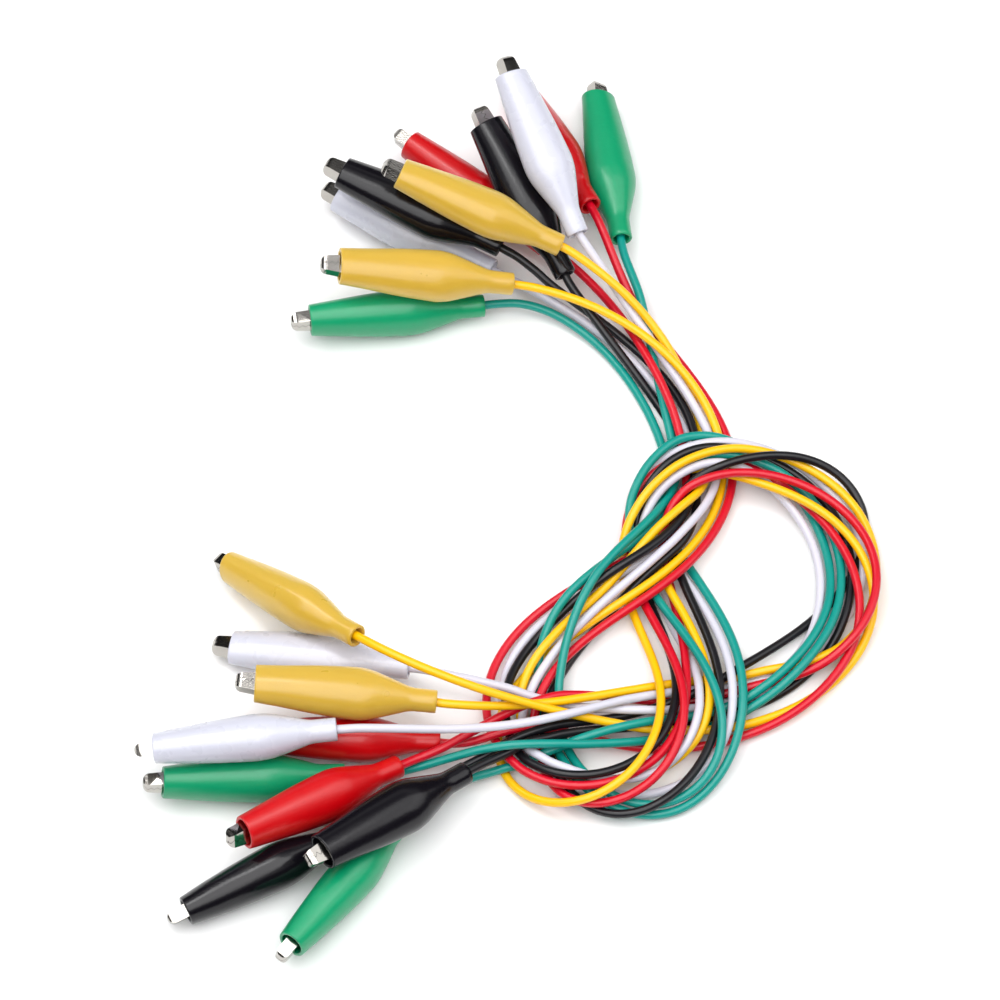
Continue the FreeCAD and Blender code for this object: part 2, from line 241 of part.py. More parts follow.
"red_2": ("T9", "B5", """
16.42,65.58,9.90 17.57,62.92,10.05 18.64,60.27,9.60 19.68,57.70,8.87 20.72,55.16,7.93 21.79,52.71,6.86
22.95,50.27,5.75 24.22,47.91,4.68 25.74,45.57,3.78 27.37,43.26,3.11 29.09,40.93,2.54 30.82,38.64,2.08
32.57,36.29,1.72 34.28,33.95,1.45 35.95,31.54,1.24 37.54,29.11,1.10 39.04,26.60,1.01 40.40,24.05,0.97
41.62,21.42,0.97 42.65,18.74,1.02 43.47,15.97,1.11 44.02,13.18,1.26 44.26,10.34,1.49 44.20,7.51,1.77
43.86,4.69,2.09 43.28,1.93,2.46 42.47,-0.79,2.85 41.47,-3.42,3.26 40.26,-6.00,3.68 38.89,-8.46,4.09
37.34,-10.85,4.49 35.64,-13.12,4.85 33.75,-15.28,5.15 31.74,-17.30,5.39 29.60,-19.23,5.45 27.37,-21.03,5.40
25.07,-22.74,5.27 22.76,-24.41,5.09 20.44,-26.07,4.87 18.18,-27.75,4.63 15.95,-29.48,4.39 13.82,-31.27,4.15
11.80,-33.17,3.93 9.94,-35.19,3.72 8.28,-37.35,3.56 6.86,-39.66,3.44 5.73,-42.08,3.31 4.89,-44.62,3.20
4.39,-47.20,3.10 4.26,-49.82,2.91 4.45,-52.41,3.02 5.02,-54.93,2.58 5.91,-57.31,2.59 6.58,-59.76,3.09
7.79,-61.96,3.14 9.31,-63.94,3.61 11.17,-65.50,3.99 13.42,-66.56,4.42 15.80,-67.07,4.81 18.31,-67.06,5.19
20.74,-66.58,5.55 23.11,-65.68,5.91 25.28,-64.43,6.27 27.29,-62.84,6.63 29.02,-61.01,6.98 30.52,-58.92,7.31
31.72,-56.67,7.59 32.63,-54.24,7.81 33.25,-51.73,7.92 33.58,-49.12,7.91 33.65,-46.51,7.78 33.47,-43.88,7.46
33.09,-41.29,7.03 32.53,-38.71,6.52 31.55,-35.34,5.75 30.69,-32.85,5.16 29.75,-30.37,4.57 28.75,-27.91,4.00
27.73,-25.44,3.47 26.70,-22.98,3.00 25.70,-20.48,2.60 24.77,-17.96,2.28 23.94,-15.39,2.05 23.26,-12.79,1.91
22.79,-10.14,1.88 22.59,-7.50,1.97 22.67,-4.83,2.16 23.04,-2.24,2.45 23.75,0.28,2.82 24.78,2.64,3.24
26.19,4.81,3.70 27.92,6.68,4.15 29.98,8.24,4.56 32.29,9.34,4.91 34.81,10.04,5.16 37.39,10.34,5.31
40.05,10.26,5.40 42.65,9.84,5.17 45.22,9.08,4.88 47.71,8.08,4.62 50.12,6.83,4.39 52.42,5.37,4.22
54.58,3.68,4.19 56.62,1.83,4.23 58.56,-0.14,4.34 60.36,-2.25,4.49 62.04,-4.46,4.65 63.60,-6.78,4.81
64.99,-9.19,4.93 66.21,-11.72,5.02 67.21,-14.32,5.08 67.97,-17.02,5.06 68.47,-19.76,4.96 68.69,-22.55,4.83
68.61,-25.34,4.64 68.22,-28.11,4.43 67.51,-30.81,4.16 66.43,-33.41,3.90 65.09,-35.88,3.68 63.49,-38.24,3.45
61.68,-40.43,3.24 59.67,-42.49,3.03 57.51,-44.36,2.81 55.18,-46.07,2.59 52.74,-47.59,2.36 50.15,-48.92,2.11
47.49,-50.02,1.87 44.72,-50.96,1.63 41.94,-51.74,1.42 39.08,-52.37,1.24 36.24,-52.84,1.10 33.33,-53.17,1.00
30.46,-53.34,0.97 27.55,-53.34,0.98 24.70,-53.07,1.15 21.83,-52.72,1.42 19.04,-52.28,1.80 16.25,-51.83,2.29
13.50,-51.39,2.85 10.82,-51.02,3.70 8.12,-50.83,4.43 5.41,-50.79,5.09 2.72,-51.06,5.70 0.06,-51.61,6.03
-2.58,-52.26,5.72 -5.17,-52.89,5.12 -7.78,-53.37,4.42 -10.46,-53.59,4.02 -13.23,-53.57,4.09
"""),
"black_1": ("T2", "B8", """
-1.41,55.09,11.37 1.01,53.86,10.74 3.20,52.50,9.86 5.30,51.11,8.86 7.28,49.66,7.76 9.41,48.31,6.73
11.67,46.99,5.75 13.85,45.62,4.85 16.08,44.21,4.09 18.27,42.73,3.41 20.45,41.15,2.83 22.54,39.47,2.35
24.58,37.68,1.97 26.51,35.78,1.70 28.34,33.76,1.52 30.03,31.63,1.49 31.58,29.38,1.58 32.97,27.05,1.73
34.18,24.62,1.95 35.21,22.12,2.21 36.03,19.54,2.47 36.65,16.92,2.75 37.00,14.24,2.98 37.13,11.56,3.19
37.05,8.88,3.49 36.78,6.25,3.97 36.36,3.64,4.56 35.78,1.08,5.12 34.98,-1.40,5.77 33.95,-3.78,6.45
32.66,-6.05,7.07 31.12,-8.14,7.70 29.41,-10.13,8.25 27.51,-11.97,8.64 25.48,-13.69,8.88 23.31,-15.26,8.85
21.08,-16.73,8.57 18.86,-18.13,8.02 16.66,-19.51,7.28 14.59,-20.97,6.39 12.56,-22.49,5.46 10.56,-24.06,4.61
8.63,-25.77,3.86 6.76,-27.58,3.28 5.01,-29.55,2.92 3.41,-31.65,2.79 1.99,-33.86,2.89 0.79,-36.18,3.19
-0.16,-38.57,3.67 -0.86,-41.05,4.10 -1.29,-43.55,4.61 -1.27,-46.13,4.79 -1.13,-48.66,4.41 -0.62,-51.16,4.09
0.12,-53.57,4.32 1.19,-55.83,4.73 2.64,-57.79,5.30 4.55,-59.37,5.80 6.66,-60.59,6.31 9.00,-61.48,6.70
11.43,-61.97,6.95 13.96,-62.07,7.07 16.45,-61.81,7.09 18.92,-61.20,7.06 21.26,-60.29,6.98 23.48,-59.06,6.90
25.49,-57.56,6.82 27.30,-55.78,6.73 28.83,-53.78,6.66 30.08,-51.57,6.54 31.03,-49.23,6.39 31.68,-46.77,6.04
32.06,-44.27,5.60 32.20,-41.73,5.08 32.10,-39.20,4.52 31.81,-36.65,3.94 31.34,-34.13,3.37 30.74,-31.60,2.83
30.04,-29.08,2.34 29.25,-26.57,1.89 28.42,-24.05,1.53 27.58,-21.52,1.24 26.75,-18.98,1.03 25.98,-16.42,0.97
25.34,-13.82,0.97 24.86,-11.22,1.14 24.65,-8.63,1.64 24.63,-6.06,2.28 24.86,-3.56,3.10 25.31,-1.13,4.03
26.13,1.23,4.87 27.31,3.48,5.57 28.77,5.54,6.18 30.54,7.40,6.67 32.58,8.96,7.01 34.87,10.19,7.21
37.30,11.05,7.24 39.85,11.56,6.99 42.42,11.65,6.67 45.00,11.47,6.23 47.53,11.03,5.74 50.01,10.33,5.23
52.40,9.39,4.72 54.69,8.21,4.24 56.85,6.81,3.81 58.87,5.18,3.44 60.71,3.35,3.14 62.35,1.32,2.93
63.78,-0.87,2.79 64.98,-3.20,2.73 65.93,-5.64,2.73 66.65,-8.18,2.78 67.12,-10.76,2.87 67.36,-13.40,2.98
67.37,-16.04,3.06 67.16,-18.69,3.17 66.73,-21.31,3.21 66.10,-23.89,3.11 65.25,-26.40,2.89 64.17,-28.82,2.55
62.84,-31.10,2.12 61.31,-33.26,1.68 59.60,-35.33,1.44 57.72,-37.24,1.24 55.67,-39.03,1.11 53.48,-40.62,1.04
51.15,-42.04,0.99 48.71,-43.26,0.97 46.16,-44.31,0.97 43.56,-45.18,0.97 40.87,-45.88,0.98 38.19,-46.50,1.02
35.45,-47.05,1.10 32.73,-47.53,1.23 29.97,-48.00,1.41 27.25,-48.46,1.68 24.52,-48.93,2.05 21.84,-49.43,2.50
19.19,-50.00,3.18 16.62,-50.60,4.00 14.05,-51.27,4.83 11.47,-52.01,5.49 8.90,-52.84,6.10 6.35,-53.76,6.53
3.74,-54.62,7.05 1.27,-55.82,6.88 -1.15,-57.22,6.72 -3.53,-58.59,7.00 -5.89,-60.02,7.46 -8.18,-61.63,8.04
"""),
"black_2": ("T7", "B9", """
11.26,50.13,7.94 12.75,47.70,7.37 14.39,45.36,6.83 16.01,43.11,6.16 17.68,40.85,5.44 19.34,38.66,4.73
21.04,36.43,4.00 22.71,34.25,3.31 24.39,32.01,2.67 26.01,29.79,2.10 27.61,27.48,1.62 29.12,25.15,1.24
30.56,22.75,0.97 31.89,20.29,0.97 33.07,17.72,0.97 34.11,15.14,1.01 35.01,12.49,1.15 35.76,9.83,1.39
36.34,7.14,1.78 36.70,4.48,2.33 36.84,1.82,3.05 36.71,-0.79,3.84 36.29,-3.40,4.55 35.51,-5.94,5.08
34.41,-8.39,5.51 32.82,-10.56,5.66 30.93,-12.52,5.62 28.96,-14.40,5.41 26.94,-16.24,5.07 24.97,-18.06,4.51
23.04,-19.92,3.87 21.19,-21.81,3.20 19.38,-23.78,2.59 17.63,-25.80,2.13 15.91,-27.88,1.87 14.28,-30.01,1.72
12.74,-32.20,1.68 11.31,-34.45,1.74 9.61,-37.53,1.94 8.52,-39.90,2.18 7.58,-42.32,2.44 6.90,-44.78,2.74
6.47,-47.31,2.98 6.30,-49.83,2.90 6.53,-52.37,2.97 7.09,-54.81,2.99 7.88,-57.22,3.00 8.82,-59.53,2.99
10.07,-61.71,2.84 11.55,-63.67,2.66 13.35,-65.41,2.54 15.30,-66.87,2.65 17.51,-67.97,2.91 19.82,-68.64,3.27
22.26,-68.82,3.71 24.65,-68.51,4.11 27.00,-67.76,4.49 29.18,-66.64,4.83 31.24,-65.16,5.03 33.07,-63.44,5.16
34.73,-61.48,5.24 36.18,-59.38,5.26 37.43,-57.11,5.27 38.49,-54.75,5.26 39.35,-52.28,5.27 40.01,-49.75,5.27
40.48,-47.15,5.31 40.74,-44.53,5.35 40.80,-41.88,5.35 40.57,-39.24,5.34 40.16,-36.61,5.15 39.59,-34.00,4.95
38.89,-31.43,4.70 38.10,-28.87,4.43 37.24,-26.35,4.15 36.34,-23.83,3.88 35.42,-21.33,3.62 34.53,-18.83,3.39
33.69,-16.31,3.18 32.91,-13.79,3.02 32.35,-11.22,2.97 31.83,-8.68,2.66 31.59,-6.12,3.03 31.61,-3.64,3.49
32.23,-1.36,4.44 33.29,0.72,5.37 34.75,2.52,6.43 36.65,3.95,7.30 38.81,5.12,8.10 41.15,5.95,8.78
43.60,6.79,9.12 46.11,7.47,9.28 48.67,8.01,9.27 51.23,8.41,9.09 53.82,8.62,8.76 56.36,8.63,8.30
58.86,8.38,7.66 61.24,7.85,6.90 63.50,6.99,6.03 65.53,5.80,5.11 67.30,4.23,4.17 68.71,2.37,3.27
69.74,0.18,2.48 70.31,-2.18,1.83 70.45,-4.70,1.36 70.18,-7.23,1.10 69.54,-9.76,0.97 68.61,-12.22,0.97
67.42,-14.61,0.97 66.01,-16.91,0.97 64.43,-19.11,0.97 62.69,-21.24,0.99 60.83,-23.28,1.05 58.20,-25.90,1.37
56.12,-27.80,1.70 53.99,-29.61,2.07 51.77,-31.39,2.45 49.53,-33.11,2.81 47.21,-34.81,3.11 44.88,-36.44,3.38
42.52,-38.13,3.41 40.15,-39.71,3.35 37.67,-41.22,3.40 35.13,-42.50,3.36 32.46,-43.60,3.23 29.80,-44.52,2.99
27.08,-45.40,2.83 24.40,-46.24,2.83 21.71,-47.06,3.00 19.07,-47.81,3.45 16.45,-48.51,4.10 13.87,-49.22,4.81
11.33,-49.96,5.61 8.82,-50.77,6.34 6.25,-51.65,6.73 3.68,-52.55,6.74 1.17,-53.59,6.57 -1.22,-54.83,6.34
-3.58,-56.13,6.04 -5.87,-57.53,5.76 -8.20,-58.91,5.73 -10.51,-60.30,5.77 -12.78,-61.75,5.93 -15.02,-63.21,6.14
-17.25,-64.69,6.36 -19.45,-66.22,6.56 -21.65,-67.74,6.70 -23.80,-69.32,6.73 -25.91,-70.94,6.59 -28.11,-72.42,6.39
-30.50,-73.72,6.20
"""),
"white_1": ("T8", "B4", """
14.05,55.22,15.85 15.70,53.03,14.66 17.35,51.02,13.28 19.04,48.96,11.84 20.68,46.89,10.54 22.37,44.70,9.34
24.03,42.52,8.28 25.73,40.24,7.31 27.38,37.97,6.47 29.05,35.62,5.70 30.64,33.26,5.05 32.23,30.83,4.49
33.75,28.41,4.02 35.23,25.90,3.63 36.59,23.39,3.33 37.86,20.78,3.12 38.96,18.15,3.00 39.87,15.44,2.98
40.57,12.71,3.16 40.97,9.92,3.39 40.98,7.17,3.86 40.56,4.46,4.44 39.77,1.86,5.10 38.69,-0.66,5.79
37.37,-3.05,6.44 35.83,-5.38,7.02 34.12,-7.61,7.39 32.29,-9.83,7.51 30.31,-11.90,7.49 28.24,-13.94,7.37
26.15,-15.90,7.17 23.99,-17.85,6.93 21.87,-19.77,6.67 19.73,-21.71,6.39 17.65,-23.64,6.10 15.60,-25.64,5.80
13.62,-27.64,5.47 11.70,-29.71,5.17 9.90,-31.82,4.87 8.19,-34.01,4.59 6.65,-36.27,4.35 5.23,-38.60,4.10
4.05,-41.03,3.86 3.12,-43.52,3.69 2.34,-46.05,3.60 1.89,-48.59,3.64 1.83,-51.14,3.87 2.34,-53.45,4.57
3.36,-55.60,5.33 4.85,-57.19,6.36 7.09,-58.52,6.10 9.32,-59.55,6.08 11.74,-60.36,5.71 14.15,-61.01,5.32
16.65,-61.45,4.96 19.13,-61.67,4.61 21.66,-61.63,4.37 24.12,-61.31,4.31 26.56,-60.63,4.44 28.79,-59.63,4.71
30.86,-58.24,5.10 32.61,-56.56,5.54 34.08,-54.55,5.97 35.20,-52.35,6.28 36.02,-49.94,6.42 36.53,-47.47,6.36
36.75,-44.92,6.07 36.72,-42.39,5.60 36.53,-39.89,4.87 36.12,-37.50,3.92 35.50,-35.09,2.98 34.67,-32.71,2.16
33.35,-29.50,1.34 32.27,-27.05,1.02 31.21,-24.57,0.97 30.18,-22.06,0.99 29.18,-19.54,1.17 28.21,-17.01,1.48
27.35,-14.47,1.91 26.50,-11.95,2.42 25.94,-9.43,3.09 25.78,-6.87,3.79 26.14,-4.39,4.57 27.02,-2.04,5.36
28.28,0.13,6.11 29.91,2.09,6.78 31.82,3.78,7.33 33.98,5.23,7.71 36.26,6.42,7.90 38.72,7.25,7.93
41.22,7.65,7.65 43.74,7.52,7.14 46.15,6.92,6.57 48.45,5.90,5.92 50.55,4.52,5.31 52.50,2.85,4.76
54.31,1.04,4.26 55.92,-1.01,3.86 57.33,-3.21,3.56 58.54,-5.56,3.36 59.51,-8.00,3.23 60.26,-10.54,3.18
60.77,-13.13,3.16 61.05,-15.76,3.17 61.09,-18.40,3.17 60.90,-21.04,3.11 60.54,-23.65,3.08 59.90,-26.21,2.85
58.96,-28.63,2.52 57.70,-30.92,2.15 56.17,-33.01,1.75 54.32,-34.86,1.40 52.28,-36.47,1.08 50.04,-37.85,0.97
47.59,-38.78,0.97 45.00,-39.40,0.97 42.35,-39.77,1.02 39.67,-40.10,1.24 37.01,-40.49,1.61 34.40,-40.98,2.19
31.83,-41.65,2.92 29.32,-42.47,3.71 26.84,-43.35,4.64 24.39,-44.31,5.59 21.94,-45.32,6.56 19.50,-46.43,7.41
17.00,-47.55,8.21 14.49,-48.64,8.92 11.92,-49.71,9.57 9.27,-50.62,9.97 6.55,-51.46,10.31 3.82,-52.21,10.62
1.03,-52.87,10.92 -1.74,-53.45,11.25 -4.57,-53.96,11.62 -7.36,-54.40,12.03 -10.20,-54.78,12.49 -13.01,-55.10,12.98
-15.85,-55.38,13.51 -18.67,-55.62,14.03 -21.53,-55.83,14.55 -24.36,-56.03,15.02 -27.24,-56.21,15.43 -30.10,-56.39,15.74
-33.03,-56.62,15.80
"""),
"white_2": ("T3", "B2", """
-3.01,54.17,4.10 -0.46,52.78,3.95 1.97,51.42,3.74 4.43,50.03,3.49 6.84,48.64,3.24 9.25,47.18,2.97
11.60,45.70,2.70 13.92,44.12,2.44 16.13,42.45,2.18 18.30,40.67,1.94 20.37,38.83,1.73 22.39,36.88,1.54
24.31,34.88,1.39 26.16,32.77,1.26 27.89,30.61,1.16 29.54,28.34,1.09 31.06,26.02,1.04 32.47,23.61,1.00
33.75,21.16,0.98 34.92,18.63,0.97 35.94,16.07,0.97 36.84,13.44,0.97 37.55,10.78,0.97 38.11,8.08,0.97
38.32,5.37,0.99 38.09,2.66,1.18 37.48,0.05,1.59 36.50,-2.44,2.19 35.23,-4.73,2.94 33.71,-6.87,3.78
32.01,-8.85,4.62 29.95,-10.71,4.90 27.75,-12.39,5.10 25.40,-13.94,5.16 22.99,-15.34,4.83 20.50,-16.70,4.50
18.03,-18.05,4.19 15.54,-19.41,3.81 13.12,-20.81,3.45 10.73,-22.30,3.08 8.45,-23.87,2.71 6.28,-25.61,2.36
4.31,-27.51,2.07 2.53,-29.59,1.80 1.00,-31.83,1.56 -0.25,-34.22,1.36 -1.19,-36.74,1.19 -1.73,-39.35,1.07
-1.92,-42.00,0.99 -1.69,-44.65,0.96 -0.84,-47.19,0.97 0.06,-49.72,0.97 1.19,-52.15,0.97 2.53,-54.44,0.97
3.99,-56.63,0.95 5.85,-58.45,0.90 8.19,-59.66,0.96 10.56,-60.77,0.97 13.03,-61.64,0.97 15.54,-62.35,0.97
18.08,-62.92,0.98 20.62,-63.30,1.04 23.18,-63.47,1.14 25.71,-63.40,1.30 28.22,-63.06,1.53 30.64,-62.44,1.81
32.97,-61.51,2.17 35.12,-60.30,2.57 37.10,-58.79,3.02 38.82,-57.04,3.49 40.29,-55.03,3.97 41.45,-52.85,4.42
42.33,-50.49,4.83 42.90,-48.04,5.17 43.20,-45.49,5.41 43.28,-42.93,5.54 43.17,-40.33,5.54 42.85,-37.74,5.43
42.38,-35.17,5.11 41.76,-32.64,4.72 41.01,-30.14,4.24 40.15,-27.67,3.71 39.19,-25.25,3.16 38.13,-22.86,2.62
36.99,-20.50,2.10 35.78,-18.17,1.65 34.52,-15.86,1.30 33.23,-13.56,1.00 31.91,-11.29,0.97 30.64,-9.02,0.97
29.44,-6.72,0.97 28.37,-4.41,0.97 27.51,-2.00,0.97 26.85,0.37,0.97 26.53,2.80,1.22 26.70,5.12,1.63
27.40,7.32,2.26 28.64,9.13,3.02 30.37,10.58,3.85 32.40,11.57,4.57 34.64,12.29,5.25 36.97,12.89,5.58
39.42,13.28,5.80 41.86,13.45,5.81 44.36,13.46,5.65 46.81,13.20,5.35 49.25,12.70,4.98 51.61,11.99,4.57
53.93,11.04,4.16 56.12,9.88,3.78 58.24,8.51,3.44 60.21,6.95,3.16 62.06,5.20,2.96 63.73,3.30,2.84
65.25,1.24,2.80 66.59,-0.92,2.84 67.75,-3.21,2.94 68.68,-5.56,3.01 69.36,-8.04,3.03 69.75,-10.53,2.96
69.80,-13.08,2.64 69.53,-15.58,2.29 68.93,-18.05,1.89 68.05,-20.42,1.50 66.89,-22.72,1.20 65.51,-24.91,1.03
63.98,-27.04,0.97 62.34,-29.10,0.97 60.63,-31.12,0.97 58.89,-33.13,0.97 57.04,-35.05,0.97 55.08,-36.86,0.97
52.96,-38.49,0.97 50.70,-39.95,0.97 48.33,-41.21,1.07 45.86,-42.30,1.29 43.34,-43.24,1.60 40.75,-44.02,2.00
38.14,-44.67,2.46 35.51,-45.29,3.00 32.88,-45.80,3.54 30.20,-46.23,4.07 27.50,-46.50,4.51 24.74,-46.62,4.82
21.98,-46.64,4.99 19.18,-46.52,5.05 16.40,-46.36,4.98 13.60,-46.07,4.93 10.83,-45.68,4.92 8.05,-45.15,4.95
5.38,-44.46,5.36 2.68,-43.70,5.77 0.05,-42.86,6.26 -2.67,-42.06,6.35 -5.38,-41.29,6.24 -8.12,-40.50,6.14
-10.84,-39.77,5.98 -13.61,-39.05,5.86 -16.35,-38.39,5.78 -19.21,-37.84,5.67
"""),
}


# Document objects bound to the sheet

def prism(name, points, direction, length):
    """Closed outline swept both ways from its own plane."""
    outline = doc.addObject("Part::Polygon", name + "_outline")
    outline.Nodes = points
    outline.Close = True
    sweep = doc.addObject("Part::Extrusion", name)
    sweep.Base = outline
    sweep.DirMode = "Custom"
    sweep.Dir = direction
    sweep.Solid = True
    sweep.Symmetric = True
    sweep.setExpression("LengthFwd", length)
    return sweep


def cylinder(name, radius, height, base, rotation):
    bar = doc.addObject("Part::Cylinder", name)
    bar.setExpression("Radius", radius)
    bar.setExpression("Height", height)
    bar.Placement = Placement(base, rotation)
    return bar


def pivot_cylinder(name, radius, height):
    """Cylinder on the pivot axis, centred on y = 0."""
    bar = cylinder(name, radius, height, Vector(), Rotation(Vector(1, 0, 0), -90))
    bar.setExpression("Placement.Base.y", "-(" + height + ") / 2")
    return bar


def cylinder_along_x(name, radius, height, x, z):
    return cylinder(name, radius, height, Vector(x, 0, z), Rotation(Vector(0, 1, 0), 90))


def boolean(kind, name, base, tool):
    result = doc.addObject("Part::" + kind, name)
    result.Base = base
    result.Tool = tool
    return result


# Jaws

def jaw_plan(reach_back, half_back, taper_start, inset):
    """Plan outline of a jaw: parallel at the back, tapered, rounded at the nose."""
    back = half_back - inset
    front = DIMS["front_half"] - inset
    tip = TIP - inset
    half = [(-reach_back, back), (taper_start, back), (TAPER_END, front)]
    for step in range(6):
        angle = math.radians(15 * step)
        half.append((tip - front + front * math.sin(angle), front * math.cos(angle)))
    half.append((tip, front * 0.08))
    return [Vector(x, y, 0) for x, y in half] + [Vector(x, -y, 0) for x, y in reversed(half)]


def jaw(prefix, outline, inner, reach_back, taper_start, ear_radius, result):
    """Channel section with ears round the pivot, drilled for the rivet."""
    half = DIMS[prefix + "_half"]
    width = "dims.%s_half" % prefix

    def side_prism(part, points, length):
        points = [Vector(x, 0, z) for x, z in points]
        return prism(prefix + part, points, Vector(0, 1, 0), width + length)

    def plan_prism(part, reach, inset, length):
        points = jaw_plan(reach, half, taper_start, inset)
        return prism(prefix + part, points, Vector(0, 0, 1), width + length)

    side = side_prism("_side", outline, " * 2 + 1")
    plan = plan_prism("_plan", reach_back, 0.0, " * 6")
    blank = boolean("Common", prefix + "_blank", side, plan)
    ear = pivot_cylinder(prefix + "_ear", ear_radius, width + " * 2")
    eared = boolean("Fuse", prefix + "_eared", blank, ear)
    inner_side = side_prism("_inner_side", inner, " * 2 + 2")
    inner_plan = plan_prism("_inner_plan", reach_back + 1.0, GAUGE, " * 8")
    void = boolean("Common", prefix + "_void", inner_side, inner_plan)
    shell = boolean("Cut", prefix + "_shell", eared, void)
    hole = pivot_cylinder(prefix + "_hole", "dims.%s_hole_radius" % prefix, width + " * 2 + 1")
    return boolean("Cut", result, shell, hole)


def tooth_line():
    return [(FIRST_TOOTH_X + DIMS["tooth_pitch"] / 2.0 * i,
             (DIMS["tooth_rise"] / 2.0) * (1 if i % 2 else -1)) for i in range(TOOTH_POINTS)]


def mirrored(points):
    return [(x, -z) for x, z in points]


def make_fixed_jaw():
    """Channel open upwards, with a crimp band at the tail."""
    outline = [(TIP, FIXED_LIP_Z)] + mirrored(OUTER_FRONT)
    outline += [(-9.5, -3.10), (-TAIL, -2.75), (-TAIL, -1.90), (-9.5, -2.10),
                (-2.0, -1.60), (-1.5, -0.30), (5.0, -0.30)]
    outline += tooth_line() + [(TEETH_END, FIXED_LIP_Z)]
    inner = mirrored(INNER_FRONT) + [(-9.5, -2.70), (-14.0, -2.31), (-14.5, 5)]
    drilled = jaw("fixed", outline, inner, reach_back=15.0, taper_start=2.0,
                  ear_radius="dims.ear_radius", result="fixed_drilled")
    outside = cylinder_along_x("band_outside", "dims.band_outer", "dims.band_length",
                               -TAIL + 0.1, BAND_AXIS_Z)
    inside = cylinder_along_x("band_inside", "dims.band_inner", "dims.band_length * 2",
                              -TAIL - 1.0, BAND_AXIS_Z)
    band = boolean("Cut", "crimp_band", outside, inside)
    return boolean("Fuse", "fixed_jaw_local", drilled, band)


def make_moving_jaw():
    """Narrower channel open downwards, with a thumb tail."""
    outline = [(TIP, MOVING_LIP_Z)] + OUTER_FRONT
    outline += [(-4, 2.95), (-THUMB, 3.70), (-THUMB, 2.95), (-4, 1.90),
                (-1.8, 1.20), (-1.4, 0.30), (5.0, 0.30)]
    outline += [(x, z + DIMS["tooth_gap"]) for x, z in tooth_line()]
    outline.append((TEETH_END, MOVING_LIP_Z))
    inner = INNER_FRONT + [(-4, 2.55), (-THUMB - 1.0, 3.40), (-THUMB - 1.0, -5)]
    return jaw("moving", outline, inner, reach_back=12.0, taper_start=3.0,
               ear_radius="dims.ear_radius - 0.05", result="moving_jaw_local")


# Rivet and boot

def make_rivet():
    """Shank with two low heads outside the fixed ears."""
    shank = pivot_cylinder("rivet_shank", "dims.rivet_radius", "dims.rivet_half * 2")
    blank = pivot_cylinder("rivet_head_blank", "dims.rivet_head_radius", "dims.rivet_half * 2")
    gap = pivot_cylinder("rivet_head_gap", "dims.rivet_head_radius + 1",
                         "(dims.rivet_half - dims.rivet_head_length) * 2")
    heads = boolean("Cut", "rivet_heads", blank, gap)
    return boolean("Fuse", "rivet_local", shank, heads)


def boot_section(name, x, half_width, half_height, reduction):
    """Ellipse across the clip axis, its long axis along clip Z."""
    ellipse = doc.addObject("Part::Ellipse", name)
    ellipse.setExpression("MajorRadius", "%g%s" % (half_height, reduction))
    ellipse.setExpression("MinorRadius", "%g%s" % (half_width, reduction))
    ellipse.Placement = Placement(Matrix(0, 0, -1, x, 0, 1, 0, 0, 1, 0, 0, 0, 0, 0, 0, 1))
    return ellipse


def boot_loft(name, stations, reduction=""):
    loft = doc.addObject("Part::Loft", name)
    loft.Sections = [boot_section("%s_sec_%d" % (name, i), *station, reduction)
                     for i, station in enumerate(stations)]
    loft.Solid = True
    loft.Ruled = True
    return loft


def make_boot():
    """Soft boot, open at both ends: the inside loft overruns the outside one."""
    mouth_x, mouth_width, mouth_height = BOOT_STATIONS[0]
    collar_x, collar_width, collar_height = BOOT_STATIONS[-1]
    inside = list(BOOT_STATIONS)
    inside[0] = (mouth_x + BOOT_OVERRUN, mouth_width - BOOT_MOUTH_INSET,
                 mouth_height - BOOT_MOUTH_INSET)
    inside[-1] = (collar_x - BOOT_OVERRUN, collar_width, collar_height)
    return boolean("Cut", "boot_local", boot_loft("boot_outside", BOOT_STATIONS),
                   boot_loft("boot_inside", inside, " - dims.boot_wall"))


# Round rods along curves

def interpolated(points):
    curve = Part.BSplineCurve()
    curve.interpolate(points)
    return curve


def turn_to(start, tangent, end):
    """Arc leaving start along tangent and reaching end: centre, axis, angle.

    A straight run gives None, the chord and 0.
    """
    chord = end - start
    along = chord.dot(tangent)
    side = chord - tangent * along
    if side.Length < 1e-5 * chord.Length:
        return None, chord, 0.0
    radius = chord.Length ** 2 / (2.0 * side.Length)
    side.normalize()
    angle = 2.0 * math.atan2(chord.dot(side), along)
    return start + side * radius, tangent.cross(side), angle


def arc_points(start, tangent, end):
    centre, axis, angle = turn_to(start, tangent, end)
    if centre is None:
        return [start + axis * (i / 8.0) for i in range(9)]
    return [centre + Rotation(axis, math.degrees(angle * i / 8.0)).multVec(start - centre)
            for i in range(9)]


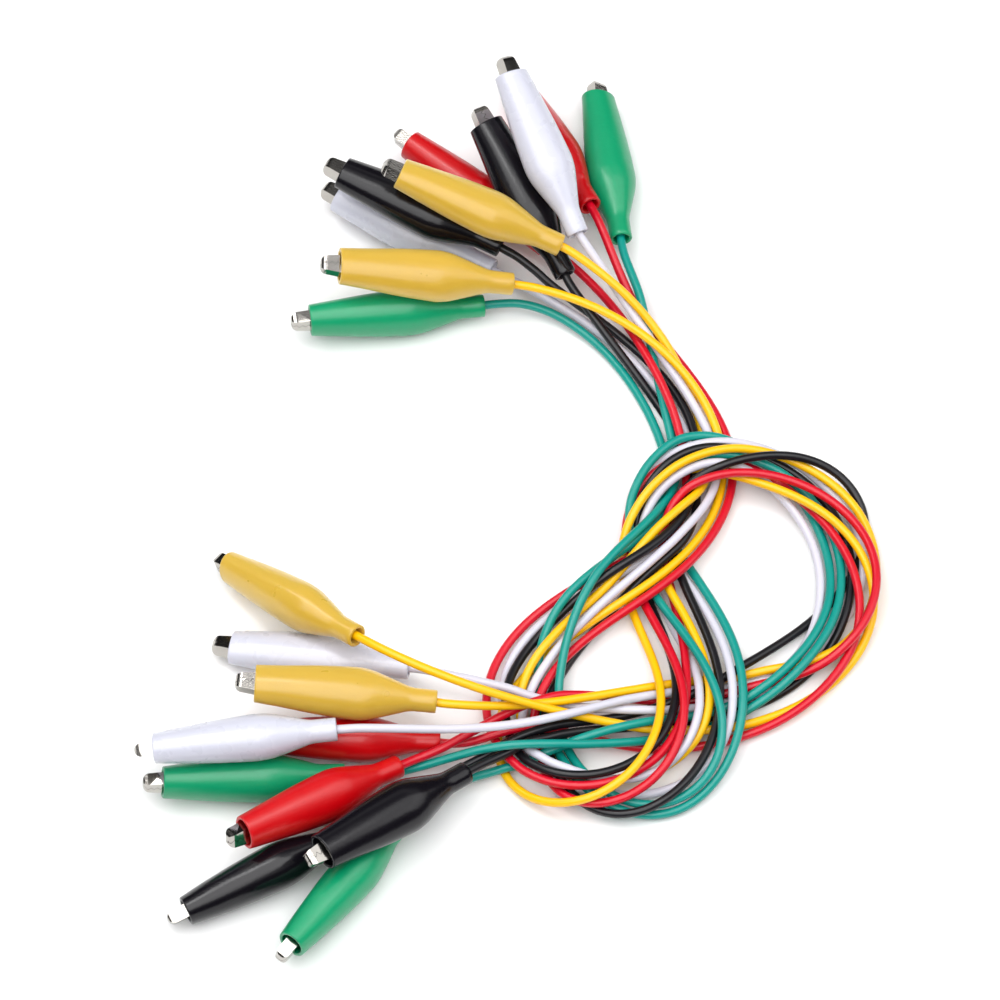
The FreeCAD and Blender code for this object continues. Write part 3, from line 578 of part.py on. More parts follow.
def arcs_between(curve, first, last, tolerance, depth=0):
    """Pairs of tangent arcs that follow a curve, as (start, tangent, end)."""
    p0, p1 = curve.value(first), curve.value(last)
    t0, t1 = curve.tangent(first)[0], curve.tangent(last)[0]
    chord, tangents = p1 - p0, t0 + t1
    bend = 2.0 * (1.0 - t0.dot(t1))
    if bend < 1e-9:
        reach = chord.dot(chord) / (4.0 * chord.dot(t1))
    else:
        across = chord.dot(tangents)
        reach = (-across + math.sqrt(across ** 2 + bend * chord.dot(chord))) / bend
    joint = (p0 + p1 + (t0 - t1) * reach) * 0.5
    joint_tangent = p1 - t1 * reach - p0 - t0 * reach
    joint_tangent.normalize()
    pair = [(p0, t0, joint), (joint, joint_tangent, p1)]
    samples = [point for arc in pair for point in arc_points(*arc)]
    half_spacing = (last - first) / 16.0 * 0.5
    error = 0.0
    for fraction in (0.25, 0.5, 0.75):
        target = curve.value(first + (last - first) * fraction)
        nearest = min((point - target).Length for point in samples)
        error = max(error, math.sqrt(max(0.0, nearest ** 2 - half_spacing ** 2)))
    if error > tolerance and depth < 4:
        middle = 0.5 * (first + last)
        return (arcs_between(curve, first, middle, tolerance, depth + 1)
                + arcs_between(curve, middle, last, tolerance, depth + 1))
    return pair


def rod(curve, first, last, outer, inner=0.0, step=4.0, tolerance=0.02):
    """Round rod between two curve parameters, hollow when inner is above zero."""
    count = max(2, int(round((last - first) / step)))
    arcs = []
    for i in range(count):
        arcs += arcs_between(curve, first + (last - first) * i / count,
                             first + (last - first) * (i + 1) / count, tolerance)
    p, t, _ = arcs[0]
    x = t.cross(Vector(0, 0, 1))
    if x.Length < 0.2:
        x = t.cross(Vector(0, 1, 0))
    x.normalize()
    y = t.cross(x)
    seat = Matrix(x.x, y.x, t.x, p.x, x.y, y.y, t.y, p.y, x.z, y.z, t.z, p.z, 0, 0, 0, 1)
    rings = []
    for radius in [outer] + ([inner] if inner > 0 else []):
        ring = Part.makeCircle(radius)
        ring.transformShape(seat)
        rings.append(ring)
    start_rings = [ring.copy() for ring in rings]
    faces = []
    for arc in arcs:
        centre, axis, angle = turn_to(*arc)
        moved = []
        for ring in rings:
            end_ring = ring.copy()
            if centre is None:
                faces.append(ring.extrude(axis))
                end_ring.translate(axis)
            else:
                faces.append(ring.revolve(centre, axis, math.degrees(angle)))
                end_ring.rotate(centre, axis, math.degrees(angle))
            moved.append(end_ring)
        rings = moved
    for ends in (start_rings, rings):
        wires = Part.makeCompound([Part.Wire([ring]) for ring in ends])
        faces.append(Part.makeFace(wires, "Part::FaceMakerBullseye").Faces[0])
    shell = Part.makeShell([face for swept in faces for face in swept.Faces])
    shell.sewShape()
    solid = Part.makeSolid(shell.Shells[0])
    if solid.Volume < 0:
        solid.reverse()
    want = math.pi * (outer ** 2 - inner ** 2) * curve.toShape(first, last).Length
    if abs(solid.Volume / want - 1.0) > 0.01 or not solid.isClosed():
        raise RuntimeError("rod volume off: %.2f against %.2f" % (solid.Volume, want))
    return solid


def make_spring():
    """Torsion spring round the rivet, both legs back along the tails."""
    radius, half = DIMS["spring_coil_radius"], DIMS["spring_half"]
    points = [Vector(x, -half, z) for x, z in reversed(UPPER_LEG)]
    for i in range(COIL_STEPS + 1):
        angle = math.radians(COIL_START - COIL_SWEEP * i / COIL_STEPS)
        y = half * (-1 + 2.0 * i / COIL_STEPS)
        points.append(Vector(radius * math.cos(angle), y, radius * math.sin(angle)))
    points += [Vector(x, half, z) for x, z in LOWER_LEG]
    curve = interpolated(points)
    return rod(curve, curve.FirstParameter, curve.LastParameter,
               DIMS["spring_wire_radius"], step=1.1, tolerance=0.01)


# Placing and collecting the pieces

def read_points(text):
    return [Vector(*map(float, point.split(","))) for point in text.split()]


def read_clips():
    seats = {}
    for line in CLIPS.strip().splitlines():
        name, numbers = line.split(" ", 1)
        o, x, y, z = read_points(numbers)
        seats[name] = Placement(Matrix(x.x, y.x, z.x, o.x, x.y, y.y, z.y, o.y,
                                       x.z, y.z, z.z, o.z, 0, 0, 0, 1))
    return seats


def placed(shape, seat):
    copy = shape.copy()
    copy.transformShape(seat.toMatrix(), True)
    return copy


def solid_of(obj):
    solids = obj.Shape.Solids
    if len(solids) != 1:
        raise RuntimeError("%s has %d solids" % (obj.Name, len(solids)))
    return solids[0]


nodes = []


def add_node(name, solids):
    obj = doc.addObject("Part::Feature", name)
    obj.Shape = solids[0] if len(solids) == 1 else Part.makeCompound(solids)
    obj.Label = name
    obj.Placement = Placement()
    nodes.append((name, obj, len(solids)))


fixed_object = make_fixed_jaw()
moving_object = make_moving_jaw()
rivet_object = make_rivet()
boot_object = make_boot()
solder_bar = cylinder_along_x("solder_bar", "dims.solder_radius", "dims.solder_length",
                              *SOLDER_START)
doc.recompute()
FIXED_JAW, MOVING_JAW = solid_of(fixed_object), solid_of(moving_object)
RIVET, BOOT = solid_of(rivet_object), solid_of(boot_object)
SPRING = make_spring()
SEATS = read_clips()

conductors = {}
springs, rivets, solders = [], [], []


def solder_joint(seat, stub):
    """Solder round the conductor; the largest piece left by the cuts."""
    joint = placed(solder_bar.Shape, seat).cut(placed(FIXED_JAW, seat)).cut(stub)
    return max(joint.Solids, key=lambda solid: solid.Volume)


def build_lead(name, clip_a, clip_b, run):
    seats = SEATS[clip_a], SEATS[clip_b]
    head, tail = [[seat.multVec(Vector(x, 0, z)) for x, z in INNER_RUN] for seat in seats]
    curve = interpolated(head + read_points(run) + tail[::-1])
    first, last = curve.FirstParameter, curve.LastParameter
    jacket_first = curve.parameter(head[JACKET_START])
    jacket_last = curve.parameter(tail[JACKET_START])
    core_radius = DIMS["conductor_radius"]
    core = rod(curve, first, last, core_radius)
    tube = rod(curve, jacket_first, jacket_last, DIMS["jacket_radius"], DIMS["bore_radius"])
    conductors.setdefault(name.rsplit("_", 1)[0], []).append(core)
    add_node(name + "_jacket", [tube])
    add_node(name + "_boots", [placed(BOOT, seat) for seat in seats])
    add_node(name + "_fixed_jaws", [placed(FIXED_JAW, seat) for seat in seats])
    for end, seat in zip("ab", seats):
        add_node(name + "_moving_jaw_" + end, [placed(MOVING_JAW, seat)])
    bare_ends = (first, jacket_first), (jacket_last, last)
    for seat, (start, stop) in zip(seats, bare_ends):
        stub = rod(curve, start, stop, core_radius + STUB_CLEARANCE, step=1.0)
        rivets.append(placed(RIVET, seat))
        springs.append(placed(SPRING, seat))
        solders.append(solder_joint(seat, stub))


for lead_name, lead in LEADS.items():
    build_lead(lead_name, *lead)
for colour, cores in conductors.items():
    add_node(colour + "_conductors", cores)
add_node("pivot_rivets", rivets)
add_node("torsion_springs", springs)
add_node("solder_joints", solders)
doc.recompute()

# Every object must have computed, and every node must hold its valid solids.
faults = ["%s %s" % (obj.Name, obj.State) for obj in doc.Objects
          if "Invalid" in obj.State or "Error" in obj.State]
for name, obj, count in nodes:
    shape = obj.Shape
    if (shape.isNull() or not shape.isValid() or len(shape.Solids) != count
            or shape.Volume <= 0):
        faults.append("%s: bad shape, %d solids expected" % (name, count))
if faults:
    raise RuntimeError("; ".join(faults))
os.makedirs("parts", exist_ok=True)
for name, obj, _ in nodes:
    obj.Shape.exportStep("parts/%s.step" % name)
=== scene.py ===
# Ten test leads, two in each of five colours, lying on a floor with a crocodile clip at each end.
# +Z is up and the floor is at z = 0. Clips T1-T10 lie on the +y side and B1-B10 on the -y side.
# Lengths are in millimetres up to the meshes, and in metres for the floor, lights and camera.
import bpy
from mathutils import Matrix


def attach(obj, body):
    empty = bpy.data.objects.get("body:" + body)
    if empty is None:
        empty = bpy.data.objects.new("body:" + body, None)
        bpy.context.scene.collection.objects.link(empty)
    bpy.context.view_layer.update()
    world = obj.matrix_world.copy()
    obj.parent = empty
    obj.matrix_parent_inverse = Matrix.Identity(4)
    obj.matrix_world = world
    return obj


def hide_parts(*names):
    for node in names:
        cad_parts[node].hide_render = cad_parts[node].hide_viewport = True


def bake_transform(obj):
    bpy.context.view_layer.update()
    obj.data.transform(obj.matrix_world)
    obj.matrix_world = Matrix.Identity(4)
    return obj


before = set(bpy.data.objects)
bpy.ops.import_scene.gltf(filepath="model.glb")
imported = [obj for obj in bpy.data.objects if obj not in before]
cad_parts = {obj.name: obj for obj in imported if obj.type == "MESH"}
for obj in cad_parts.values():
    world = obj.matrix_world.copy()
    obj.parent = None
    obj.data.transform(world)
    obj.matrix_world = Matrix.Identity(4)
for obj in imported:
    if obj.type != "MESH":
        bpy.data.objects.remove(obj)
import math

import bmesh
import bpy
import numpy as np
from mathutils import Matrix, Vector

for stray in ("Cube", "Light", "Camera"):
    if stray in bpy.data.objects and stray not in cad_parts:
        bpy.data.objects.remove(bpy.data.objects[stray])

MM = 0.001


def points(text):
    """Array of points from text: commas inside a point, blanks between points."""
    return np.array([point.split(",") for point in text.split()], float)


# Clip name, pivot, then unit directions to the tip (x), along the rivet (y)
# and towards the moving jaw (z).
CLIP_TABLE = """
T1 -12.565,76.023,6.583 -0.779946,0.613872,0.121839 -0.625709,-0.760777,-0.172354 -0.013112,-0.210663,0.977471
T2 -24.782,65.432,15.908 -0.904760,0.388554,0.174458 -0.256970,-0.171320,-0.951113 -0.339671,-0.905359,0.254850
T3 -25.866,66.509,5.079 -0.880911,0.471794,0.037500 -0.154126,-0.211056,-0.965246 -0.447483,-0.856076,0.258637
T4 -12.860,60.917,23.013 -0.910197,0.318194,0.265131 -0.381749,-0.396217,-0.835032 -0.160653,-0.861257,0.482106
T5 -24.306,47.233,15.855 -0.980040,-0.000921,0.198797 0.195940,-0.173464,0.965152 0.033596,0.984840,0.170182
T6 -30.318,42.625,6.088 -0.986764,-0.142919,0.076621 0.143340,-0.989673,0.000000 0.075830,0.010983,0.997060
T7 -0.444,72.372,14.562 -0.454500,0.853504,0.254873 0.271247,-0.139929,0.952284 0.848443,0.501946,-0.167913
T8 3.834,77.473,24.378 -0.381037,0.864125,0.328783 -0.572378,0.058796,-0.817879 -0.726081,-0.499830,0.472203
T9 5.876,88.921,5.435 -0.406752,0.897216,-0.171917 -0.884613,-0.433816,-0.171063 -0.228061,0.082500,0.970145
T10 19.207,85.771,4.496 -0.123199,0.990955,-0.053191 -0.632850,-0.119739,-0.764960 -0.764410,-0.060580,0.641878
B1 -48.204,-21.100,8.063 -0.718628,0.612652,-0.328985 -0.648765,-0.760989,-0.000000 -0.250354,0.213434,0.944335
B2 -44.850,-33.765,4.281 -0.985632,0.160291,-0.053267 -0.005495,-0.345620,-0.938359 -0.168820,-0.924583,0.341535
B3 -39.594,-46.959,14.251 -0.994868,0.081269,0.060270 0.052746,-0.091755,0.994384 0.086342,0.992460,0.086997
B4 -58.893,-58.917,14.579 -0.994506,-0.093636,-0.046808 0.104481,-0.860018,-0.499452 0.006511,-0.501598,0.865076
B5 -39.110,-53.322,5.968 -0.997391,-0.003363,0.072109 0.021494,0.939770,0.341130 -0.068913,0.341790,-0.937246
B6 -57.514,-62.685,5.999 -0.994548,-0.080091,0.066787 -0.080270,0.996773,-0.000000 -0.066572,-0.005361,-0.997767
B7 -42.906,-72.673,11.608 -0.830877,-0.514846,0.211134 0.556338,-0.760740,0.334310 -0.011500,0.395232,0.918509
B8 -28.309,-77.089,13.687 -0.773669,-0.595094,0.217483 0.370516,-0.146499,0.917200 -0.513960,0.790190,0.333834
B9 -53.646,-85.324,4.817 -0.885863,-0.460877,-0.053280 0.449864,-0.825213,-0.341534 0.113438,-0.326522,0.938358
B10 -36.116,-90.200,6.059 -0.600147,-0.796312,0.075568 0.778566,-0.603203,-0.173152 0.183466,-0.045082,0.981992
"""
CLIPS = {}
for line in CLIP_TABLE.strip().splitlines():
    clip_name, clip_vectors = line.split(maxsplit=1)
    CLIPS[clip_name] = points(clip_vectors)

# Lead: its T clip, its B clip and the x,y,z points its wire passes between their boots.
LEADS = {
    "yellow_1": ("T4", "B1", points("""
10.76,52.53,16.13 13.26,51.20,15.35 15.65,49.71,14.53 17.94,48.17,13.69 20.20,46.58,12.75 22.34,44.99,11.66
24.40,43.32,10.46 26.33,41.60,9.21 28.16,39.76,7.93 29.85,37.83,6.67 31.42,35.76,5.45 32.83,33.57,4.33
34.09,31.23,3.33 35.20,28.79,2.49 36.19,26.23,1.81 37.03,23.61,1.33 37.74,20.92,1.07 38.31,18.20,1.05
38.72,15.46,1.27 39.01,12.76,1.80 39.09,10.12,2.59 38.98,7.55,3.59 38.61,5.09,4.74 37.80,2.81,6.02
36.55,0.61,7.07 34.88,-1.43,7.89 33.00,-3.45,8.30 31.03,-5.47,8.40 29.03,-7.50,8.27 27.14,-9.62,7.96
25.28,-11.79,7.55 23.47,-13.95,7.09 21.64,-16.15,6.65 19.82,-18.30,6.21 17.91,-20.43,5.93 15.92,-22.46,5.82
13.90,-24.47,5.77 11.93,-26.49,5.78 10.00,-28.53,5.78 8.16,-30.61,5.70 6.45,-32.76,5.53 4.84,-34.91,5.08
3.49,-37.13,4.39 2.43,-39.47,3.64 1.76,-41.88,2.86 1.47,-44.37,2.09 1.73,-46.86,1.54 2.50,-49.33,1.19
3.67,-51.62,0.99 5.27,-53.70,0.94 7.05,-55.60,0.96 9.10,-57.27,0.97 11.38,-58.54,0.97 13.85,-59.49,0.97
16.41,-60.04,1.07 19.05,-60.29,1.24 21.67,-60.24,1.48 24.29,-59.91,1.81 26.82,-59.28,2.20 29.26,-58.35,2.66
31.52,-57.12,3.17 33.58,-55.55,3.70 35.34,-53.69,4.22 36.78,-51.53,4.74 37.81,-49.14,5.09 38.47,-46.57,5.34
38.75,-43.91,5.41 38.70,-41.20,5.41 38.38,-38.50,5.28 37.83,-35.81,5.14 37.08,-33.14,4.97 36.19,-30.51,4.77
35.18,-27.91,4.56 34.09,-25.33,4.34 32.94,-22.78,4.06 31.37,-19.40,3.62 30.28,-16.83,3.37 29.26,-14.22,3.19
28.41,-11.57,3.01 27.88,-8.84,2.80 27.37,-6.13,2.69 27.00,-3.43,2.80 27.00,-0.73,2.97 27.29,1.86,3.17
28.39,4.19,3.55 30.15,5.91,4.12 32.36,7.09,4.78 34.89,7.36,5.25 37.47,7.23,5.87 40.10,6.64,6.00
42.71,5.86,6.27 45.31,5.03,6.49 47.89,4.06,6.64 50.45,3.03,6.77 52.99,1.96,6.79 55.48,0.77,6.79
57.90,-0.54,6.73 60.23,-1.99,6.63 62.43,-3.62,6.49 64.45,-5.43,6.26 66.29,-7.42,6.00 67.89,-9.57,5.71
69.24,-11.90,5.39 70.29,-14.34,5.04 71.04,-16.90,4.68 71.46,-19.50,4.31 71.54,-22.16,3.92 71.28,-24.77,3.52
70.65,-27.35,3.09 69.72,-29.81,2.67 68.51,-32.18,2.27 67.04,-34.40,1.92 65.35,-36.49,1.61 63.48,-38.42,1.37
61.44,-40.20,1.20 59.27,-41.83,1.12 56.98,-43.32,1.11 54.60,-44.67,1.20 52.15,-45.89,1.36 49.63,-46.99,1.60
47.08,-47.99,1.89 44.46,-48.83,2.20 41.79,-49.50,2.53 39.06,-49.94,2.81 36.29,-50.20,3.05 33.51,-50.31,3.29
30.72,-50.30,3.44 27.92,-50.25,3.56 25.15,-50.09,3.84 22.43,-49.86,4.41 19.74,-49.65,5.13 17.05,-49.45,5.90
14.40,-49.25,6.79 11.72,-49.05,7.64 9.11,-48.91,8.71 6.49,-48.75,9.81 3.89,-48.55,10.91 1.23,-48.25,11.91
-1.41,-47.89,12.89 -4.09,-47.45,13.82 -6.74,-46.94,14.69 -9.41,-46.32,15.50 -12.06,-45.61,16.22 -14.71,-44.78,16.84
-17.32,-43.84,17.32 -19.92,-42.76,17.65 -22.45,-41.54,17.78 -24.91,-40.18,17.68 -27.26,-38.68,17.33 -29.48,-36.99,16.60
""")),
    "yellow_2": ("T5", "B3", points("""
1.17,47.19,10.69 4.05,46.97,10.19 6.83,46.43,9.83 9.61,45.70,9.53 12.31,44.82,9.29 14.98,43.75,9.08
17.56,42.56,8.90 20.09,41.20,8.71 22.52,39.74,8.51 24.89,38.14,8.26 27.15,36.45,7.95 29.34,34.67,7.50
31.40,32.83,6.91 33.35,30.88,6.23 35.15,28.85,5.50 36.80,26.69,4.76 38.28,24.43,4.04 39.56,22.05,3.38
40.62,19.55,2.80 41.45,16.96,2.32 41.97,14.28,1.99 42.22,11.53,1.81 42.22,8.78,1.78 41.98,6.03,1.88
41.50,3.32,2.10 40.79,0.65,2.42 39.88,-1.93,2.82 38.77,-4.45,3.27 37.48,-6.86,3.75 36.01,-9.20,4.22
34.40,-11.43,4.66 32.61,-13.55,5.04 30.66,-15.55,5.27 28.58,-17.44,5.42 26.40,-19.21,5.44 24.13,-20.89,5.33
21.80,-22.46,5.06 19.43,-23.97,4.64 16.29,-25.94,3.86 13.98,-27.44,3.19 11.69,-29.01,2.52 9.47,-30.64,1.91
7.31,-32.41,1.45 5.24,-34.27,1.09 3.37,-36.34,1.25 1.72,-38.55,1.64 0.20,-40.84,2.04 -0.77,-43.36,2.60
-1.86,-45.86,2.86 -2.47,-48.43,2.27 -2.72,-51.02,1.75 -2.74,-53.64,1.33 -2.27,-56.18,1.04 -1.38,-58.63,0.97
-0.13,-60.85,1.29 1.50,-62.82,1.80 3.36,-64.44,2.49 5.46,-65.73,3.34 7.69,-66.63,4.24 10.06,-67.14,5.17
12.44,-67.25,6.09 14.90,-66.90,6.84 17.24,-66.14,7.49 19.50,-64.98,8.04 21.55,-63.48,8.44 23.40,-61.67,8.72
24.98,-59.62,8.86 26.32,-57.36,8.84 27.38,-54.97,8.70 28.20,-52.47,8.32 28.75,-49.92,7.84 29.06,-47.32,7.25
29.14,-44.72,6.58 29.01,-42.11,5.88 28.67,-39.53,5.09 28.17,-36.95,4.32 27.53,-34.39,3.60 26.79,-31.83,2.95
25.97,-29.26,2.40 25.11,-26.68,1.99 24.24,-24.08,1.77 23.43,-21.46,1.72 22.70,-18.83,1.96 22.11,-16.22,2.49
21.82,-13.60,3.16 21.89,-11.03,4.06 22.24,-8.53,5.08 22.98,-6.08,6.02 24.08,-3.69,6.76 25.43,-1.43,7.47
27.03,0.71,8.07 28.86,2.68,8.60 30.88,4.47,9.04 33.09,6.05,9.38 35.47,7.38,9.54 37.98,8.47,9.58
40.57,9.31,9.48 43.23,9.89,9.23 45.89,10.19,8.76 48.54,10.20,8.15 51.16,9.94,7.51 53.74,9.41,6.85
56.25,8.63,6.24 58.69,7.58,5.72 61.02,6.31,5.28 63.21,4.79,4.90 65.23,3.07,4.58 67.04,1.13,4.26
68.61,-0.98,3.94 69.91,-3.28,3.63 70.93,-5.68,3.28 71.69,-8.20,2.92 72.15,-10.77,2.60 72.35,-14.24,2.23
72.17,-16.87,2.02 71.72,-19.43,1.91 71.00,-21.96,1.88 70.02,-24.36,1.95 68.82,-26.68,2.19 67.35,-28.78,2.44
65.68,-30.74,2.88 63.82,-32.46,3.33 61.63,-33.83,3.61 59.25,-34.84,3.56 56.75,-35.63,3.45 54.17,-36.16,3.25
51.53,-36.53,3.00 48.90,-36.85,2.48 46.27,-37.23,1.86 43.58,-37.57,1.42 40.84,-37.90,1.44 38.08,-38.30,1.56
35.34,-38.75,1.88 32.62,-39.34,2.32 29.95,-40.06,2.86 27.27,-40.83,3.49 24.63,-41.65,4.16 21.97,-42.50,4.86
19.34,-43.35,5.56 16.64,-44.19,6.21 13.95,-44.98,6.80 11.22,-45.75,7.41 8.51,-46.48,8.02 5.75,-47.15,8.64
3.01,-47.74,9.25 0.26,-48.30,9.94 -2.48,-48.75,10.61 -5.27,-49.10,11.26 -8.05,-49.32,11.86 -10.89,-49.39,12.37
-13.76,-49.25,12.68
""")),
    "green_1": ("T6", "B6", points("""
-4.69,46.46,4.10 -1.91,46.89,3.87 0.77,47.09,3.62 3.46,46.82,3.33 6.05,46.12,3.02 8.56,45.08,2.71
10.92,43.75,2.41 13.18,42.18,2.13 15.32,40.46,1.89 17.33,38.55,1.67 19.20,36.50,1.48 20.94,34.32,1.33
22.55,32.04,1.20 24.03,29.66,1.10 25.40,27.20,1.04 26.66,24.69,1.00 27.79,22.11,0.98 28.80,19.48,0.97
29.68,16.81,0.97 30.40,14.09,0.97 30.96,11.35,1.00 31.34,8.59,1.16 31.46,5.84,1.45 31.37,3.16,2.08
31.08,0.56,2.87 29.98,-1.80,3.75 28.57,-4.02,4.56 27.26,-6.33,5.41 25.44,-8.39,5.99 23.52,-10.39,6.49
21.47,-12.30,6.86 19.34,-14.15,7.10 17.20,-16.00,7.24 15.09,-17.88,7.25 13.05,-19.82,7.12 11.16,-21.87,6.84
9.49,-24.05,6.37 8.05,-26.34,5.74 6.90,-28.73,4.98 5.99,-31.16,4.06 5.44,-33.72,3.28 5.16,-36.37,2.61
5.07,-38.98,1.88 5.26,-41.65,1.36 5.67,-44.29,1.04 6.28,-46.93,0.97 7.11,-49.47,1.06 7.96,-51.98,1.55
8.91,-54.42,2.11 10.07,-56.77,2.74 11.38,-59.06,3.02 12.96,-61.23,3.09 14.73,-63.17,3.02 16.76,-64.89,2.79
18.97,-66.26,2.51 21.40,-67.29,2.19 23.92,-67.92,1.93 26.56,-68.12,1.75 29.16,-67.90,1.67 31.74,-67.23,1.71
34.12,-66.14,1.90 36.33,-64.65,2.21 38.28,-62.86,2.62 40.01,-60.81,3.07 41.48,-58.56,3.55 42.71,-56.14,4.03
43.69,-53.59,4.49 44.45,-50.93,4.90 44.97,-48.19,5.24 45.26,-45.39,5.49 45.30,-42.54,5.62 45.14,-39.68,5.56
44.77,-36.82,5.40 44.22,-34.01,5.08 43.22,-30.31,4.48 42.29,-27.57,3.96 41.25,-24.91,3.41 40.10,-22.26,2.86
38.88,-19.68,2.33 37.58,-17.09,1.85 36.25,-14.56,1.45 34.86,-12.03,1.14 33.47,-9.54,0.98 32.11,-7.04,0.97
30.70,-4.65,1.18 29.60,-2.22,1.68 28.98,0.20,2.53 29.50,2.28,4.04 30.50,4.33,5.38 32.10,6.07,6.52
34.23,7.58,7.18 36.65,8.70,7.48 39.28,9.44,7.51 42.00,9.71,7.31 44.76,9.57,6.98 47.47,9.13,6.56
50.10,8.34,6.04 52.62,7.24,5.48 54.99,5.85,4.90 57.14,4.14,4.32 59.08,2.16,3.80 60.78,-0.05,3.36
62.22,-2.45,3.02 63.39,-5.02,2.83 64.26,-7.71,2.81 64.87,-10.49,2.92 65.20,-13.30,3.14 65.28,-16.15,3.45
65.10,-18.97,3.81 64.69,-21.78,4.20 64.01,-24.53,4.60 63.07,-27.22,4.96 61.91,-29.81,5.27 60.53,-32.32,5.49
58.96,-34.70,5.58 57.19,-36.96,5.49 55.27,-39.04,5.17 53.18,-40.95,4.66 50.96,-42.66,4.08 48.60,-44.20,3.43
46.15,-45.57,2.78 43.60,-46.82,2.20 40.97,-47.84,1.64 38.26,-48.81,1.25 35.54,-49.74,1.15 32.76,-50.62,1.32
30.01,-51.43,1.79 27.24,-52.11,2.59 24.51,-52.84,3.38 21.75,-53.53,4.29 19.02,-54.17,5.19 16.23,-54.76,6.09
13.44,-55.27,6.92 10.55,-55.56,7.60 7.68,-55.83,8.16 4.75,-56.04,8.54 1.84,-56.25,8.76 -1.10,-56.43,8.61
-3.96,-56.67,8.12 -6.82,-56.93,7.47 -9.56,-57.28,6.55 -12.31,-57.67,5.59 -15.01,-58.08,4.64 -17.76,-58.54,3.81
-20.52,-59.00,3.20 -23.31,-59.45,2.83 -26.07,-59.91,3.27 -28.81,-60.30,3.89 -31.66,-60.58,4.26
""")),
    "green_2": ("T10", "B10", points("""
22.36,60.00,5.88 22.91,57.14,6.01 23.73,54.37,6.10 24.63,51.66,6.13 25.52,48.91,6.07 26.24,46.17,5.83
26.84,43.42,5.34 27.39,40.70,4.81 27.89,37.95,4.24 28.38,35.22,3.78 28.91,32.46,3.45 29.41,29.71,3.20
29.91,26.95,3.07 30.44,24.22,3.00 30.95,21.50,2.96 31.49,18.81,2.76 32.00,16.14,2.55 32.43,13.46,2.43
32.69,10.80,2.47 32.78,8.15,2.70 32.59,5.59,3.22 31.95,3.15,4.06 31.00,0.83,4.92 29.73,-1.38,5.76
28.39,-3.56,6.57 26.88,-5.68,7.32 25.27,-7.76,7.95 23.59,-9.83,8.49 21.88,-11.90,8.92 20.18,-14.01,9.23
18.53,-16.16,9.40 16.94,-18.38,9.45 15.55,-20.70,9.20 14.27,-23.08,8.86 13.13,-25.51,8.40 12.14,-27.97,7.84
11.29,-30.47,7.22 10.58,-32.99,6.54 10.02,-35.51,5.83 9.58,-38.05,5.06 9.27,-40.55,4.25 9.16,-43.09,3.49
9.11,-45.58,2.76 9.34,-48.13,2.27 9.77,-50.60,1.92 10.55,-53.04,2.00 11.58,-55.32,2.23 12.79,-57.53,2.58
14.20,-59.54,2.97 15.87,-61.45,2.97 17.73,-63.08,3.04 19.84,-64.45,2.96 22.07,-65.46,2.87 24.49,-66.13,2.79
26.93,-66.37,2.77 29.43,-66.16,2.84 31.78,-65.52,3.07 34.05,-64.46,3.42 36.04,-63.06,3.86 37.77,-61.28,4.41
39.13,-59.25,5.00 40.14,-56.96,5.61 40.76,-54.54,6.19 41.03,-51.97,6.70 40.97,-49.38,7.12 40.60,-46.73,7.37
39.99,-44.11,7.49 39.16,-41.50,7.46 38.17,-38.92,7.31 37.06,-36.39,6.96 35.84,-33.87,6.50 34.56,-31.41,5.95
33.22,-28.93,5.36 31.38,-25.65,4.51 30.00,-23.20,3.93 28.60,-20.67,3.44 27.27,-18.14,3.10 25.98,-15.51,3.03
24.86,-12.86,3.23 24.04,-10.07,3.52 23.62,-7.23,3.84 23.37,-4.37,4.33 23.43,-1.56,4.81 23.98,1.22,5.18
24.94,3.86,5.49 26.18,6.39,5.76 27.71,8.72,5.95 29.53,10.84,6.06 31.60,12.68,6.10 33.94,14.09,5.95
36.52,14.90,5.58 39.19,15.22,5.15 41.84,15.06,4.53 44.42,14.44,3.84 46.90,13.38,3.27 49.23,11.99,2.74
51.39,10.32,2.30 53.39,8.40,1.96 55.20,6.30,1.72 56.85,4.03,1.58 58.30,1.64,1.52 59.59,-0.87,1.56
60.68,-3.45,1.68 61.58,-6.12,1.89 62.29,-8.82,2.16 62.79,-11.57,2.49 63.08,-14.33,2.88 63.13,-17.10,3.29
62.94,-19.85,3.72 62.45,-22.56,4.14 61.68,-25.20,4.51 60.68,-27.76,4.84 59.44,-30.21,5.11 57.99,-32.56,5.28
56.35,-34.77,5.38 54.54,-36.84,5.29 52.58,-38.77,5.09 50.49,-40.52,4.73 48.27,-42.05,4.19 45.94,-43.42,3.67
43.46,-44.60,3.42 40.89,-45.65,3.28 38.27,-46.55,3.30 35.59,-47.29,3.55 32.91,-47.98,3.90 30.25,-48.61,4.56
27.64,-49.27,5.34 24.98,-50.06,5.91 22.29,-50.85,6.24 19.52,-51.60,6.27 16.80,-52.41,6.17 14.05,-53.24,5.93
11.38,-54.23,5.61 8.71,-55.21,5.15 6.07,-56.20,4.73 3.56,-57.12,3.61 0.94,-57.88,3.00 -1.79,-58.63,2.97
-4.46,-59.39,2.72 -7.13,-60.23,2.75 -9.74,-61.20,2.86 -12.25,-62.35,3.04 -14.64,-63.71,3.29 -16.85,-65.34,3.57
-18.82,-67.23,3.85 -20.61,-69.43,4.09
""")),
